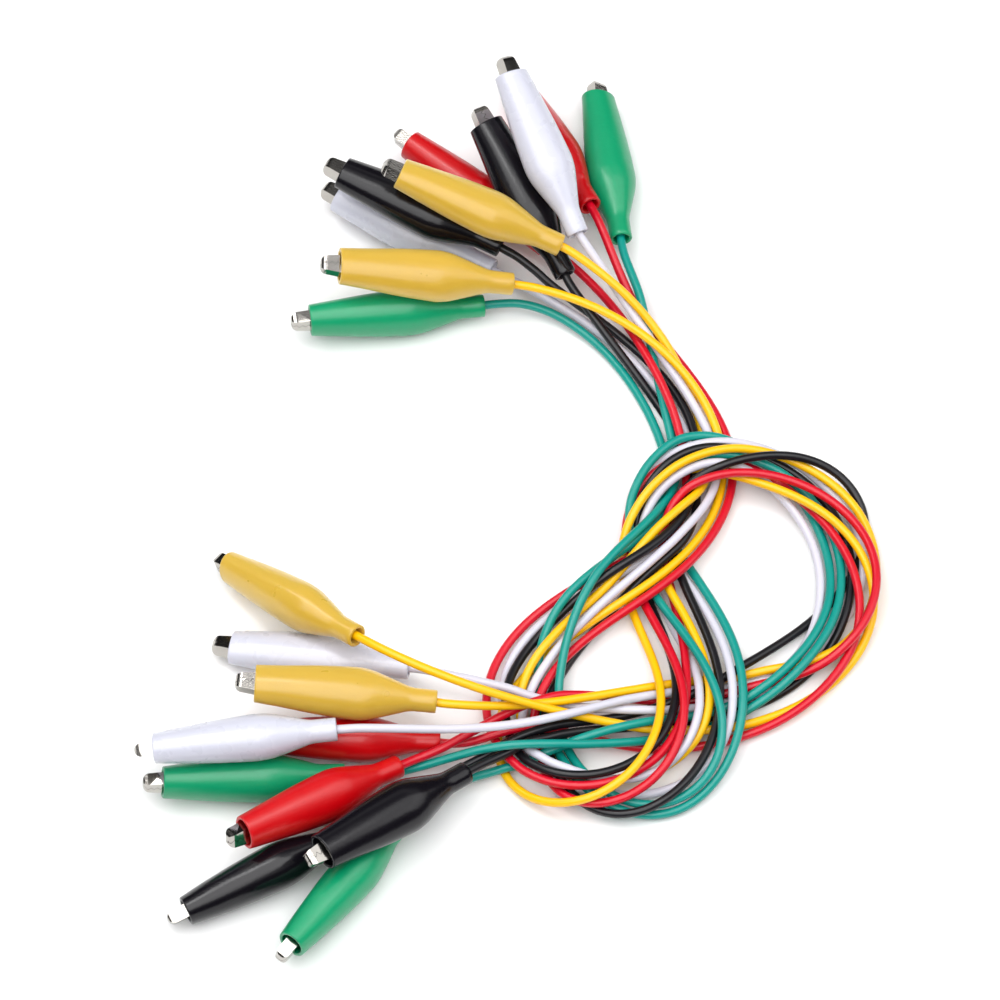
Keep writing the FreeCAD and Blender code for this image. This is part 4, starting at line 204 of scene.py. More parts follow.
    "red_1": ("T1", "B7", points("""
7.85,60.29,3.41 10.08,58.44,3.15 12.18,56.47,3.08 14.20,54.36,3.11 16.07,52.17,3.23 17.86,49.86,3.44
19.53,47.51,3.70 21.12,45.06,4.00 22.61,42.58,4.31 24.05,40.03,4.61 25.40,37.46,4.88 26.71,34.83,5.10
27.95,32.20,5.24 29.18,29.52,5.23 30.32,26.86,5.09 31.39,24.14,4.83 32.34,21.43,4.48 33.13,18.67,4.04
33.80,15.90,3.65 34.34,13.10,3.27 34.67,10.29,3.12 34.81,7.46,3.11 34.83,4.64,3.16 34.71,1.86,3.33
34.34,-0.85,3.73 33.64,-3.41,4.33 32.33,-5.70,4.99 30.57,-7.69,5.48 28.48,-9.45,5.58 26.24,-11.05,5.55
23.89,-12.50,5.35 21.48,-13.90,5.18 19.03,-15.22,4.84 16.57,-16.54,4.49 14.12,-17.87,4.09 11.71,-19.26,3.67
9.36,-20.73,3.26 7.08,-22.32,2.86 4.91,-24.03,2.48 2.87,-25.90,2.15 1.00,-27.93,1.87 -0.67,-30.12,1.66
-2.10,-32.46,1.53 -3.27,-34.93,1.48 -4.15,-37.53,1.54 -4.73,-40.18,1.70 -5.01,-42.88,1.97 -4.98,-45.58,2.33
-4.64,-48.25,2.77 -4.03,-50.83,3.31 -2.96,-53.32,3.71 -1.67,-55.64,4.27 -0.09,-57.77,4.92 1.75,-59.74,5.14
3.95,-61.31,5.41 6.37,-62.50,5.61 8.96,-63.32,5.78 11.62,-63.75,5.94 14.33,-63.83,6.07 17.02,-63.57,6.18
19.66,-62.95,6.27 22.18,-62.01,6.33 24.56,-60.72,6.34 26.73,-59.13,6.31 28.67,-57.24,6.26 30.33,-55.11,6.19
31.70,-52.75,6.09 32.77,-50.25,5.96 33.54,-47.62,5.81 34.01,-44.92,5.58 34.25,-42.17,5.34 34.30,-39.40,5.04
34.20,-36.64,4.70 33.94,-32.97,4.12 33.67,-30.25,3.57 33.33,-27.54,3.01 32.90,-24.86,2.41 32.40,-22.18,1.92
31.87,-19.50,1.63 31.31,-16.83,1.58 30.76,-14.19,1.78 30.32,-11.57,2.30 29.90,-9.08,3.11 29.82,-6.58,3.95
30.56,-4.38,5.11 31.55,-2.22,6.21 32.95,-0.32,7.23 34.77,1.33,8.14 37.00,2.51,8.72 39.46,3.41,9.06
42.01,4.07,9.13 44.65,4.48,9.02 47.30,4.63,8.79 49.97,4.54,8.46 52.60,4.19,8.09 55.20,3.58,7.71
57.71,2.72,7.35 60.14,1.59,7.02 62.42,0.21,6.74 64.54,-1.43,6.52 66.45,-3.29,6.37 68.15,-5.39,6.28
69.56,-7.65,6.26 70.69,-10.09,6.30 71.49,-12.64,6.37 71.97,-15.28,6.47 72.10,-17.95,6.57 71.88,-20.63,6.65
71.32,-23.25,6.68 70.42,-25.80,6.65 69.22,-28.20,6.50 67.71,-30.44,6.26 65.94,-32.45,5.82 63.95,-34.21,5.22
61.75,-35.73,4.61 59.34,-36.92,4.00 56.79,-37.87,3.40 54.11,-38.65,3.16 51.35,-39.30,2.98 48.59,-39.97,2.81
45.81,-40.64,2.53 43.04,-41.30,2.21 40.25,-41.98,1.85 37.44,-42.50,1.53 34.56,-42.83,1.31 31.68,-42.96,1.34
28.77,-43.01,1.61 25.91,-43.01,2.01 23.03,-43.00,2.58 20.22,-43.04,3.26 17.42,-43.16,4.06 14.70,-43.41,4.97
11.98,-43.83,5.86 9.31,-44.39,6.70 6.61,-45.27,7.13 3.95,-46.29,7.33 1.35,-47.50,7.44 -1.18,-48.81,7.40
-3.69,-50.20,7.28 -6.15,-51.63,7.10 -8.62,-53.06,6.88 -11.09,-54.43,6.61 -13.58,-55.82,6.41 -16.16,-56.91,6.03
-18.77,-57.97,5.80 -21.29,-59.31,6.12
""")),
    "red_2": ("T9", "B5", points("""
16.42,65.58,9.90 17.57,62.92,10.05 18.64,60.27,9.60 19.68,57.70,8.87 20.72,55.16,7.93 21.79,52.71,6.86
22.95,50.27,5.75 24.22,47.91,4.68 25.74,45.57,3.78 27.37,43.26,3.11 29.09,40.93,2.54 30.82,38.64,2.08
32.57,36.29,1.72 34.28,33.95,1.45 35.95,31.54,1.24 37.54,29.11,1.10 39.04,26.60,1.01 40.40,24.05,0.97
41.62,21.42,0.97 42.65,18.74,1.02 43.47,15.97,1.11 44.02,13.18,1.26 44.26,10.34,1.49 44.20,7.51,1.77
43.86,4.69,2.09 43.28,1.93,2.46 42.47,-0.79,2.85 41.47,-3.42,3.26 40.26,-6.00,3.68 38.89,-8.46,4.09
37.34,-10.85,4.49 35.64,-13.12,4.85 33.75,-15.28,5.15 31.74,-17.30,5.39 29.60,-19.23,5.45 27.37,-21.03,5.40
25.07,-22.74,5.27 22.76,-24.41,5.09 20.44,-26.07,4.87 18.18,-27.75,4.63 15.95,-29.48,4.39 13.82,-31.27,4.15
11.80,-33.17,3.93 9.94,-35.19,3.72 8.28,-37.35,3.56 6.86,-39.66,3.44 5.73,-42.08,3.31 4.89,-44.62,3.20
4.39,-47.20,3.10 4.26,-49.82,2.91 4.45,-52.41,3.02 5.02,-54.93,2.58 5.91,-57.31,2.59 6.58,-59.76,3.09
7.79,-61.96,3.14 9.31,-63.94,3.61 11.17,-65.50,3.99 13.42,-66.56,4.42 15.80,-67.07,4.81 18.31,-67.06,5.19
20.74,-66.58,5.55 23.11,-65.68,5.91 25.28,-64.43,6.27 27.29,-62.84,6.63 29.02,-61.01,6.98 30.52,-58.92,7.31
31.72,-56.67,7.59 32.63,-54.24,7.81 33.25,-51.73,7.92 33.58,-49.12,7.91 33.65,-46.51,7.78 33.47,-43.88,7.46
33.09,-41.29,7.03 32.53,-38.71,6.52 31.55,-35.34,5.75 30.69,-32.85,5.16 29.75,-30.37,4.57 28.75,-27.91,4.00
27.73,-25.44,3.47 26.70,-22.98,3.00 25.70,-20.48,2.60 24.77,-17.96,2.28 23.94,-15.39,2.05 23.26,-12.79,1.91
22.79,-10.14,1.88 22.59,-7.50,1.97 22.67,-4.83,2.16 23.04,-2.24,2.45 23.75,0.28,2.82 24.78,2.64,3.24
26.19,4.81,3.70 27.92,6.68,4.15 29.98,8.24,4.56 32.29,9.34,4.91 34.81,10.04,5.16 37.39,10.34,5.31
40.05,10.26,5.40 42.65,9.84,5.17 45.22,9.08,4.88 47.71,8.08,4.62 50.12,6.83,4.39 52.42,5.37,4.22
54.58,3.68,4.19 56.62,1.83,4.23 58.56,-0.14,4.34 60.36,-2.25,4.49 62.04,-4.46,4.65 63.60,-6.78,4.81
64.99,-9.19,4.93 66.21,-11.72,5.02 67.21,-14.32,5.08 67.97,-17.02,5.06 68.47,-19.76,4.96 68.69,-22.55,4.83
68.61,-25.34,4.64 68.22,-28.11,4.43 67.51,-30.81,4.16 66.43,-33.41,3.90 65.09,-35.88,3.68 63.49,-38.24,3.45
61.68,-40.43,3.24 59.67,-42.49,3.03 57.51,-44.36,2.81 55.18,-46.07,2.59 52.74,-47.59,2.36 50.15,-48.92,2.11
47.49,-50.02,1.87 44.72,-50.96,1.63 41.94,-51.74,1.42 39.08,-52.37,1.24 36.24,-52.84,1.10 33.33,-53.17,1.00
30.46,-53.34,0.97 27.55,-53.34,0.98 24.70,-53.07,1.15 21.83,-52.72,1.42 19.04,-52.28,1.80 16.25,-51.83,2.29
13.50,-51.39,2.85 10.82,-51.02,3.70 8.12,-50.83,4.43 5.41,-50.79,5.09 2.72,-51.06,5.70 0.06,-51.61,6.03
-2.58,-52.26,5.72 -5.17,-52.89,5.12 -7.78,-53.37,4.42 -10.46,-53.59,4.02 -13.23,-53.57,4.09
""")),
    "black_1": ("T2", "B8", points("""
-1.41,55.09,11.37 1.01,53.86,10.74 3.20,52.50,9.86 5.30,51.11,8.86 7.28,49.66,7.76 9.41,48.31,6.73
11.67,46.99,5.75 13.85,45.62,4.85 16.08,44.21,4.09 18.27,42.73,3.41 20.45,41.15,2.83 22.54,39.47,2.35
24.58,37.68,1.97 26.51,35.78,1.70 28.34,33.76,1.52 30.03,31.63,1.49 31.58,29.38,1.58 32.97,27.05,1.73
34.18,24.62,1.95 35.21,22.12,2.21 36.03,19.54,2.47 36.65,16.92,2.75 37.00,14.24,2.98 37.13,11.56,3.19
37.05,8.88,3.49 36.78,6.25,3.97 36.36,3.64,4.56 35.78,1.08,5.12 34.98,-1.40,5.77 33.95,-3.78,6.45
32.66,-6.05,7.07 31.12,-8.14,7.70 29.41,-10.13,8.25 27.51,-11.97,8.64 25.48,-13.69,8.88 23.31,-15.26,8.85
21.08,-16.73,8.57 18.86,-18.13,8.02 16.66,-19.51,7.28 14.59,-20.97,6.39 12.56,-22.49,5.46 10.56,-24.06,4.61
8.63,-25.77,3.86 6.76,-27.58,3.28 5.01,-29.55,2.92 3.41,-31.65,2.79 1.99,-33.86,2.89 0.79,-36.18,3.19
-0.16,-38.57,3.67 -0.86,-41.05,4.10 -1.29,-43.55,4.61 -1.27,-46.13,4.79 -1.13,-48.66,4.41 -0.62,-51.16,4.09
0.12,-53.57,4.32 1.19,-55.83,4.73 2.64,-57.79,5.30 4.55,-59.37,5.80 6.66,-60.59,6.31 9.00,-61.48,6.70
11.43,-61.97,6.95 13.96,-62.07,7.07 16.45,-61.81,7.09 18.92,-61.20,7.06 21.26,-60.29,6.98 23.48,-59.06,6.90
25.49,-57.56,6.82 27.30,-55.78,6.73 28.83,-53.78,6.66 30.08,-51.57,6.54 31.03,-49.23,6.39 31.68,-46.77,6.04
32.06,-44.27,5.60 32.20,-41.73,5.08 32.10,-39.20,4.52 31.81,-36.65,3.94 31.34,-34.13,3.37 30.74,-31.60,2.83
30.04,-29.08,2.34 29.25,-26.57,1.89 28.42,-24.05,1.53 27.58,-21.52,1.24 26.75,-18.98,1.03 25.98,-16.42,0.97
25.34,-13.82,0.97 24.86,-11.22,1.14 24.65,-8.63,1.64 24.63,-6.06,2.28 24.86,-3.56,3.10 25.31,-1.13,4.03
26.13,1.23,4.87 27.31,3.48,5.57 28.77,5.54,6.18 30.54,7.40,6.67 32.58,8.96,7.01 34.87,10.19,7.21
37.30,11.05,7.24 39.85,11.56,6.99 42.42,11.65,6.67 45.00,11.47,6.23 47.53,11.03,5.74 50.01,10.33,5.23
52.40,9.39,4.72 54.69,8.21,4.24 56.85,6.81,3.81 58.87,5.18,3.44 60.71,3.35,3.14 62.35,1.32,2.93
63.78,-0.87,2.79 64.98,-3.20,2.73 65.93,-5.64,2.73 66.65,-8.18,2.78 67.12,-10.76,2.87 67.36,-13.40,2.98
67.37,-16.04,3.06 67.16,-18.69,3.17 66.73,-21.31,3.21 66.10,-23.89,3.11 65.25,-26.40,2.89 64.17,-28.82,2.55
62.84,-31.10,2.12 61.31,-33.26,1.68 59.60,-35.33,1.44 57.72,-37.24,1.24 55.67,-39.03,1.11 53.48,-40.62,1.04
51.15,-42.04,0.99 48.71,-43.26,0.97 46.16,-44.31,0.97 43.56,-45.18,0.97 40.87,-45.88,0.98 38.19,-46.50,1.02
35.45,-47.05,1.10 32.73,-47.53,1.23 29.97,-48.00,1.41 27.25,-48.46,1.68 24.52,-48.93,2.05 21.84,-49.43,2.50
19.19,-50.00,3.18 16.62,-50.60,4.00 14.05,-51.27,4.83 11.47,-52.01,5.49 8.90,-52.84,6.10 6.35,-53.76,6.53
3.74,-54.62,7.05 1.27,-55.82,6.88 -1.15,-57.22,6.72 -3.53,-58.59,7.00 -5.89,-60.02,7.46 -8.18,-61.63,8.04
""")),
    "black_2": ("T7", "B9", points("""
11.26,50.13,7.94 12.75,47.70,7.37 14.39,45.36,6.83 16.01,43.11,6.16 17.68,40.85,5.44 19.34,38.66,4.73
21.04,36.43,4.00 22.71,34.25,3.31 24.39,32.01,2.67 26.01,29.79,2.10 27.61,27.48,1.62 29.12,25.15,1.24
30.56,22.75,0.97 31.89,20.29,0.97 33.07,17.72,0.97 34.11,15.14,1.01 35.01,12.49,1.15 35.76,9.83,1.39
36.34,7.14,1.78 36.70,4.48,2.33 36.84,1.82,3.05 36.71,-0.79,3.84 36.29,-3.40,4.55 35.51,-5.94,5.08
34.41,-8.39,5.51 32.82,-10.56,5.66 30.93,-12.52,5.62 28.96,-14.40,5.41 26.94,-16.24,5.07 24.97,-18.06,4.51
23.04,-19.92,3.87 21.19,-21.81,3.20 19.38,-23.78,2.59 17.63,-25.80,2.13 15.91,-27.88,1.87 14.28,-30.01,1.72
12.74,-32.20,1.68 11.31,-34.45,1.74 9.61,-37.53,1.94 8.52,-39.90,2.18 7.58,-42.32,2.44 6.90,-44.78,2.74
6.47,-47.31,2.98 6.30,-49.83,2.90 6.53,-52.37,2.97 7.09,-54.81,2.99 7.88,-57.22,3.00 8.82,-59.53,2.99
10.07,-61.71,2.84 11.55,-63.67,2.66 13.35,-65.41,2.54 15.30,-66.87,2.65 17.51,-67.97,2.91 19.82,-68.64,3.27
22.26,-68.82,3.71 24.65,-68.51,4.11 27.00,-67.76,4.49 29.18,-66.64,4.83 31.24,-65.16,5.03 33.07,-63.44,5.16
34.73,-61.48,5.24 36.18,-59.38,5.26 37.43,-57.11,5.27 38.49,-54.75,5.26 39.35,-52.28,5.27 40.01,-49.75,5.27
40.48,-47.15,5.31 40.74,-44.53,5.35 40.80,-41.88,5.35 40.57,-39.24,5.34 40.16,-36.61,5.15 39.59,-34.00,4.95
38.89,-31.43,4.70 38.10,-28.87,4.43 37.24,-26.35,4.15 36.34,-23.83,3.88 35.42,-21.33,3.62 34.53,-18.83,3.39
33.69,-16.31,3.18 32.91,-13.79,3.02 32.35,-11.22,2.97 31.83,-8.68,2.66 31.59,-6.12,3.03 31.61,-3.64,3.49
32.23,-1.36,4.44 33.29,0.72,5.37 34.75,2.52,6.43 36.65,3.95,7.30 38.81,5.12,8.10 41.15,5.95,8.78
43.60,6.79,9.12 46.11,7.47,9.28 48.67,8.01,9.27 51.23,8.41,9.09 53.82,8.62,8.76 56.36,8.63,8.30
58.86,8.38,7.66 61.24,7.85,6.90 63.50,6.99,6.03 65.53,5.80,5.11 67.30,4.23,4.17 68.71,2.37,3.27
69.74,0.18,2.48 70.31,-2.18,1.83 70.45,-4.70,1.36 70.18,-7.23,1.10 69.54,-9.76,0.97 68.61,-12.22,0.97
67.42,-14.61,0.97 66.01,-16.91,0.97 64.43,-19.11,0.97 62.69,-21.24,0.99 60.83,-23.28,1.05 58.20,-25.90,1.37
56.12,-27.80,1.70 53.99,-29.61,2.07 51.77,-31.39,2.45 49.53,-33.11,2.81 47.21,-34.81,3.11 44.88,-36.44,3.38
42.52,-38.13,3.41 40.15,-39.71,3.35 37.67,-41.22,3.40 35.13,-42.50,3.36 32.46,-43.60,3.23 29.80,-44.52,2.99
27.08,-45.40,2.83 24.40,-46.24,2.83 21.71,-47.06,3.00 19.07,-47.81,3.45 16.45,-48.51,4.10 13.87,-49.22,4.81
11.33,-49.96,5.61 8.82,-50.77,6.34 6.25,-51.65,6.73 3.68,-52.55,6.74 1.17,-53.59,6.57 -1.22,-54.83,6.34
-3.58,-56.13,6.04 -5.87,-57.53,5.76 -8.20,-58.91,5.73 -10.51,-60.30,5.77 -12.78,-61.75,5.93 -15.02,-63.21,6.14
-17.25,-64.69,6.36 -19.45,-66.22,6.56 -21.65,-67.74,6.70 -23.80,-69.32,6.73 -25.91,-70.94,6.59 -28.11,-72.42,6.39
-30.50,-73.72,6.20
""")),
    "white_1": ("T8", "B4", points("""
14.05,55.22,15.85 15.70,53.03,14.66 17.35,51.02,13.28 19.04,48.96,11.84 20.68,46.89,10.54 22.37,44.70,9.34
24.03,42.52,8.28 25.73,40.24,7.31 27.38,37.97,6.47 29.05,35.62,5.70 30.64,33.26,5.05 32.23,30.83,4.49
33.75,28.41,4.02 35.23,25.90,3.63 36.59,23.39,3.33 37.86,20.78,3.12 38.96,18.15,3.00 39.87,15.44,2.98
40.57,12.71,3.16 40.97,9.92,3.39 40.98,7.17,3.86 40.56,4.46,4.44 39.77,1.86,5.10 38.69,-0.66,5.79
37.37,-3.05,6.44 35.83,-5.38,7.02 34.12,-7.61,7.39 32.29,-9.83,7.51 30.31,-11.90,7.49 28.24,-13.94,7.37
26.15,-15.90,7.17 23.99,-17.85,6.93 21.87,-19.77,6.67 19.73,-21.71,6.39 17.65,-23.64,6.10 15.60,-25.64,5.80
13.62,-27.64,5.47 11.70,-29.71,5.17 9.90,-31.82,4.87 8.19,-34.01,4.59 6.65,-36.27,4.35 5.23,-38.60,4.10
4.05,-41.03,3.86 3.12,-43.52,3.69 2.34,-46.05,3.60 1.89,-48.59,3.64 1.83,-51.14,3.87 2.34,-53.45,4.57
3.36,-55.60,5.33 4.85,-57.19,6.36 7.09,-58.52,6.10 9.32,-59.55,6.08 11.74,-60.36,5.71 14.15,-61.01,5.32
16.65,-61.45,4.96 19.13,-61.67,4.61 21.66,-61.63,4.37 24.12,-61.31,4.31 26.56,-60.63,4.44 28.79,-59.63,4.71
30.86,-58.24,5.10 32.61,-56.56,5.54 34.08,-54.55,5.97 35.20,-52.35,6.28 36.02,-49.94,6.42 36.53,-47.47,6.36
36.75,-44.92,6.07 36.72,-42.39,5.60 36.53,-39.89,4.87 36.12,-37.50,3.92 35.50,-35.09,2.98 34.67,-32.71,2.16
33.35,-29.50,1.34 32.27,-27.05,1.02 31.21,-24.57,0.97 30.18,-22.06,0.99 29.18,-19.54,1.17 28.21,-17.01,1.48
27.35,-14.47,1.91 26.50,-11.95,2.42 25.94,-9.43,3.09 25.78,-6.87,3.79 26.14,-4.39,4.57 27.02,-2.04,5.36
28.28,0.13,6.11 29.91,2.09,6.78 31.82,3.78,7.33 33.98,5.23,7.71 36.26,6.42,7.90 38.72,7.25,7.93
41.22,7.65,7.65 43.74,7.52,7.14 46.15,6.92,6.57 48.45,5.90,5.92 50.55,4.52,5.31 52.50,2.85,4.76
54.31,1.04,4.26 55.92,-1.01,3.86 57.33,-3.21,3.56 58.54,-5.56,3.36 59.51,-8.00,3.23 60.26,-10.54,3.18
60.77,-13.13,3.16 61.05,-15.76,3.17 61.09,-18.40,3.17 60.90,-21.04,3.11 60.54,-23.65,3.08 59.90,-26.21,2.85
58.96,-28.63,2.52 57.70,-30.92,2.15 56.17,-33.01,1.75 54.32,-34.86,1.40 52.28,-36.47,1.08 50.04,-37.85,0.97
47.59,-38.78,0.97 45.00,-39.40,0.97 42.35,-39.77,1.02 39.67,-40.10,1.24 37.01,-40.49,1.61 34.40,-40.98,2.19
31.83,-41.65,2.92 29.32,-42.47,3.71 26.84,-43.35,4.64 24.39,-44.31,5.59 21.94,-45.32,6.56 19.50,-46.43,7.41
17.00,-47.55,8.21 14.49,-48.64,8.92 11.92,-49.71,9.57 9.27,-50.62,9.97 6.55,-51.46,10.31 3.82,-52.21,10.62
1.03,-52.87,10.92 -1.74,-53.45,11.25 -4.57,-53.96,11.62 -7.36,-54.40,12.03 -10.20,-54.78,12.49 -13.01,-55.10,12.98
-15.85,-55.38,13.51 -18.67,-55.62,14.03 -21.53,-55.83,14.55 -24.36,-56.03,15.02 -27.24,-56.21,15.43 -30.10,-56.39,15.74
-33.03,-56.62,15.80
""")),
    "white_2": ("T3", "B2", points("""
-3.01,54.17,4.10 -0.46,52.78,3.95 1.97,51.42,3.74 4.43,50.03,3.49 6.84,48.64,3.24 9.25,47.18,2.97
11.60,45.70,2.70 13.92,44.12,2.44 16.13,42.45,2.18 18.30,40.67,1.94 20.37,38.83,1.73 22.39,36.88,1.54
24.31,34.88,1.39 26.16,32.77,1.26 27.89,30.61,1.16 29.54,28.34,1.09 31.06,26.02,1.04 32.47,23.61,1.00
33.75,21.16,0.98 34.92,18.63,0.97 35.94,16.07,0.97 36.84,13.44,0.97 37.55,10.78,0.97 38.11,8.08,0.97
38.32,5.37,0.99 38.09,2.66,1.18 37.48,0.05,1.59 36.50,-2.44,2.19 35.23,-4.73,2.94 33.71,-6.87,3.78
32.01,-8.85,4.62 29.95,-10.71,4.90 27.75,-12.39,5.10 25.40,-13.94,5.16 22.99,-15.34,4.83 20.50,-16.70,4.50
18.03,-18.05,4.19 15.54,-19.41,3.81 13.12,-20.81,3.45 10.73,-22.30,3.08 8.45,-23.87,2.71 6.28,-25.61,2.36
4.31,-27.51,2.07 2.53,-29.59,1.80 1.00,-31.83,1.56 -0.25,-34.22,1.36 -1.19,-36.74,1.19 -1.73,-39.35,1.07
-1.92,-42.00,0.99 -1.69,-44.65,0.96 -0.84,-47.19,0.97 0.06,-49.72,0.97 1.19,-52.15,0.97 2.53,-54.44,0.97
3.99,-56.63,0.95 5.85,-58.45,0.90 8.19,-59.66,0.96 10.56,-60.77,0.97 13.03,-61.64,0.97 15.54,-62.35,0.97
18.08,-62.92,0.98 20.62,-63.30,1.04 23.18,-63.47,1.14 25.71,-63.40,1.30 28.22,-63.06,1.53 30.64,-62.44,1.81
32.97,-61.51,2.17 35.12,-60.30,2.57 37.10,-58.79,3.02 38.82,-57.04,3.49 40.29,-55.03,3.97 41.45,-52.85,4.42
42.33,-50.49,4.83 42.90,-48.04,5.17 43.20,-45.49,5.41 43.28,-42.93,5.54 43.17,-40.33,5.54 42.85,-37.74,5.43
42.38,-35.17,5.11 41.76,-32.64,4.72 41.01,-30.14,4.24 40.15,-27.67,3.71 39.19,-25.25,3.16 38.13,-22.86,2.62
36.99,-20.50,2.10 35.78,-18.17,1.65 34.52,-15.86,1.30 33.23,-13.56,1.00 31.91,-11.29,0.97 30.64,-9.02,0.97
29.44,-6.72,0.97 28.37,-4.41,0.97 27.51,-2.00,0.97 26.85,0.37,0.97 26.53,2.80,1.22 26.70,5.12,1.63
27.40,7.32,2.26 28.64,9.13,3.02 30.37,10.58,3.85 32.40,11.57,4.57 34.64,12.29,5.25 36.97,12.89,5.58
39.42,13.28,5.80 41.86,13.45,5.81 44.36,13.46,5.65 46.81,13.20,5.35 49.25,12.70,4.98 51.61,11.99,4.57
53.93,11.04,4.16 56.12,9.88,3.78 58.24,8.51,3.44 60.21,6.95,3.16 62.06,5.20,2.96 63.73,3.30,2.84
65.25,1.24,2.80 66.59,-0.92,2.84 67.75,-3.21,2.94 68.68,-5.56,3.01 69.36,-8.04,3.03 69.75,-10.53,2.96
69.80,-13.08,2.64 69.53,-15.58,2.29 68.93,-18.05,1.89 68.05,-20.42,1.50 66.89,-22.72,1.20 65.51,-24.91,1.03
63.98,-27.04,0.97 62.34,-29.10,0.97 60.63,-31.12,0.97 58.89,-33.13,0.97 57.04,-35.05,0.97 55.08,-36.86,0.97
52.96,-38.49,0.97 50.70,-39.95,0.97 48.33,-41.21,1.07 45.86,-42.30,1.29 43.34,-43.24,1.60 40.75,-44.02,2.00
38.14,-44.67,2.46 35.51,-45.29,3.00 32.88,-45.80,3.54 30.20,-46.23,4.07 27.50,-46.50,4.51 24.74,-46.62,4.82
21.98,-46.64,4.99 19.18,-46.52,5.05 16.40,-46.36,4.98 13.60,-46.07,4.93 10.83,-45.68,4.92 8.05,-45.15,4.95
5.38,-44.46,5.36 2.68,-43.70,5.77 0.05,-42.86,6.26 -2.67,-42.06,6.35 -5.38,-41.29,6.24 -8.12,-40.50,6.14
-10.84,-39.77,5.98 -13.61,-39.05,5.86 -16.35,-38.39,5.78 -19.21,-37.84,5.67
""")),
}

# View directions of the camera, which looks along +y and down.
CAMERA_PITCH = math.radians(60.5)
VIEW_FORWARD = np.array([0, math.cos(CAMERA_PITCH), -math.sin(CAMERA_PITCH)])
VIEW_UP = np.array([0, math.sin(CAMERA_PITCH), math.cos(CAMERA_PITCH)])
VIEW_RIGHT = np.array([1, 0, 0])


# ---- Materials ----

def srgb(*rgb):
    """Linear RGBA from 0-255 sRGB values."""
    def linear(value):
        v = value / 255.0
        return v / 12.92 if v <= 0.04045 else ((v + 0.055) / 1.055) ** 2.4
    return (*map(linear, rgb), 1.0)


def add_noise(tree, coords, scale, detail=2.0):
    noise = tree.nodes.new("ShaderNodeTexNoise")
    noise.inputs["Scale"].default_value = scale
    noise.inputs["Detail"].default_value = detail
    tree.links.new(coords.outputs["Object"], noise.inputs["Vector"])
    return noise.outputs["Fac"]


def material(name, base, rough, grain, metal=0.0, coat=0.0, transmission=0.0, subsurface=0.0,
             specular=0.5, grain_scale=900.0, bump=0.0, bump_scale=1500.0, painted_sheen=None,
             rough_spread=0.0):
    """Principled material. grain darkens by noise; a sheen colour, when given, is painted sheen: a lighter colour
    mixed in by facing, strongest where the surface is seen at a glancing angle.
    """
    mat = bpy.data.materials.new(name)
    mat.use_nodes = True
    tree = mat.node_tree
    nodes, link = tree.nodes, tree.links.new
    shader = nodes["Principled BSDF"].inputs
    for key, value in {
        "Roughness": rough,
        "Metallic": metal,
        "Coat Weight": coat,
        "Coat Roughness": 0.12,
        "Transmission Weight": transmission,
        "Subsurface Weight": subsurface,
        "Subsurface Radius": (0.0012, 0.0010, 0.0008),
        "Subsurface Scale": 1.0,
        "Specular IOR Level": specular,
    }.items():
        shader[key].default_value = value

    coords = nodes.new("ShaderNodeTexCoord")
    grain_noise = add_noise(tree, coords, grain_scale, detail=4.0)
    mix = nodes.new("ShaderNodeMixRGB")
    mix.blend_type = "MULTIPLY"
    mix.inputs["Fac"].default_value = grain
    mix.inputs["Color1"].default_value = base
    link(grain_noise, mix.inputs["Color2"])
    # painted sheen: the lighter colour takes over as the surface turns to a glancing angle, standing in for light at
    # the rims
    if painted_sheen is not None:
        facing = nodes.new("ShaderNodeLayerWeight")
        facing.inputs["Blend"].default_value = 0.35
        painted_sheen_mix = nodes.new("ShaderNodeMixRGB")
        painted_sheen_mix.inputs["Color2"].default_value = painted_sheen
        link(facing.outputs["Facing"], painted_sheen_mix.inputs["Fac"])
        link(mix.outputs["Color"], painted_sheen_mix.inputs["Color1"])
        mix = painted_sheen_mix
    link(mix.outputs["Color"], shader["Base Color"])

    if rough_spread > 0:
        rough_noise = add_noise(tree, coords, scale=260.0)
        spread = nodes.new("ShaderNodeMapRange")
        spread.inputs["To Min"].default_value = rough - rough_spread
        spread.inputs["To Max"].default_value = rough + rough_spread
        link(rough_noise, spread.inputs["Value"])
        link(spread.outputs["Result"], shader["Roughness"])
    if bump > 0:
        bump_noise = add_noise(tree, coords, bump_scale, detail=3.0)
        relief = nodes.new("ShaderNodeBump")
        relief.inputs["Strength"].default_value = bump
        relief.inputs["Distance"].default_value = 0.0002
        link(bump_noise, relief.inputs["Height"])
        link(relief.outputs["Normal"], shader["Normal"])
    return mat


BOOT = {
    "green": material("green_boot", srgb(0, 152, 102), rough=0.36, rough_spread=0.07,
                      subsurface=0.10, grain=0.10, bump=0.12, coat=0.12),
    "red": material("red_boot", srgb(200, 0, 10), rough=0.34, rough_spread=0.07,
                    subsurface=0.08, grain=0.12, bump=0.12, coat=0.12),
    "black": material("black_boot", srgb(14, 12, 18), rough=0.22, rough_spread=0.05,
                      specular=0.35, grain=0.10, bump=0.10, coat=0.05),
    "white": material("white_boot", srgb(204, 205, 218), rough=0.28, rough_spread=0.06,
                      subsurface=0.05, grain=0.03, bump=0.12, coat=0.2),
    "yellow": material("yellow_boot", srgb(210, 170, 56), rough=0.30, rough_spread=0.06,
                       transmission=0.10, subsurface=0.25, grain=0.08, grain_scale=260,
                       # painted sheen: lighter yellow on the boots' glancing rims
                       bump=0.12, coat=0.15, painted_sheen=srgb(238, 206, 104)),
}
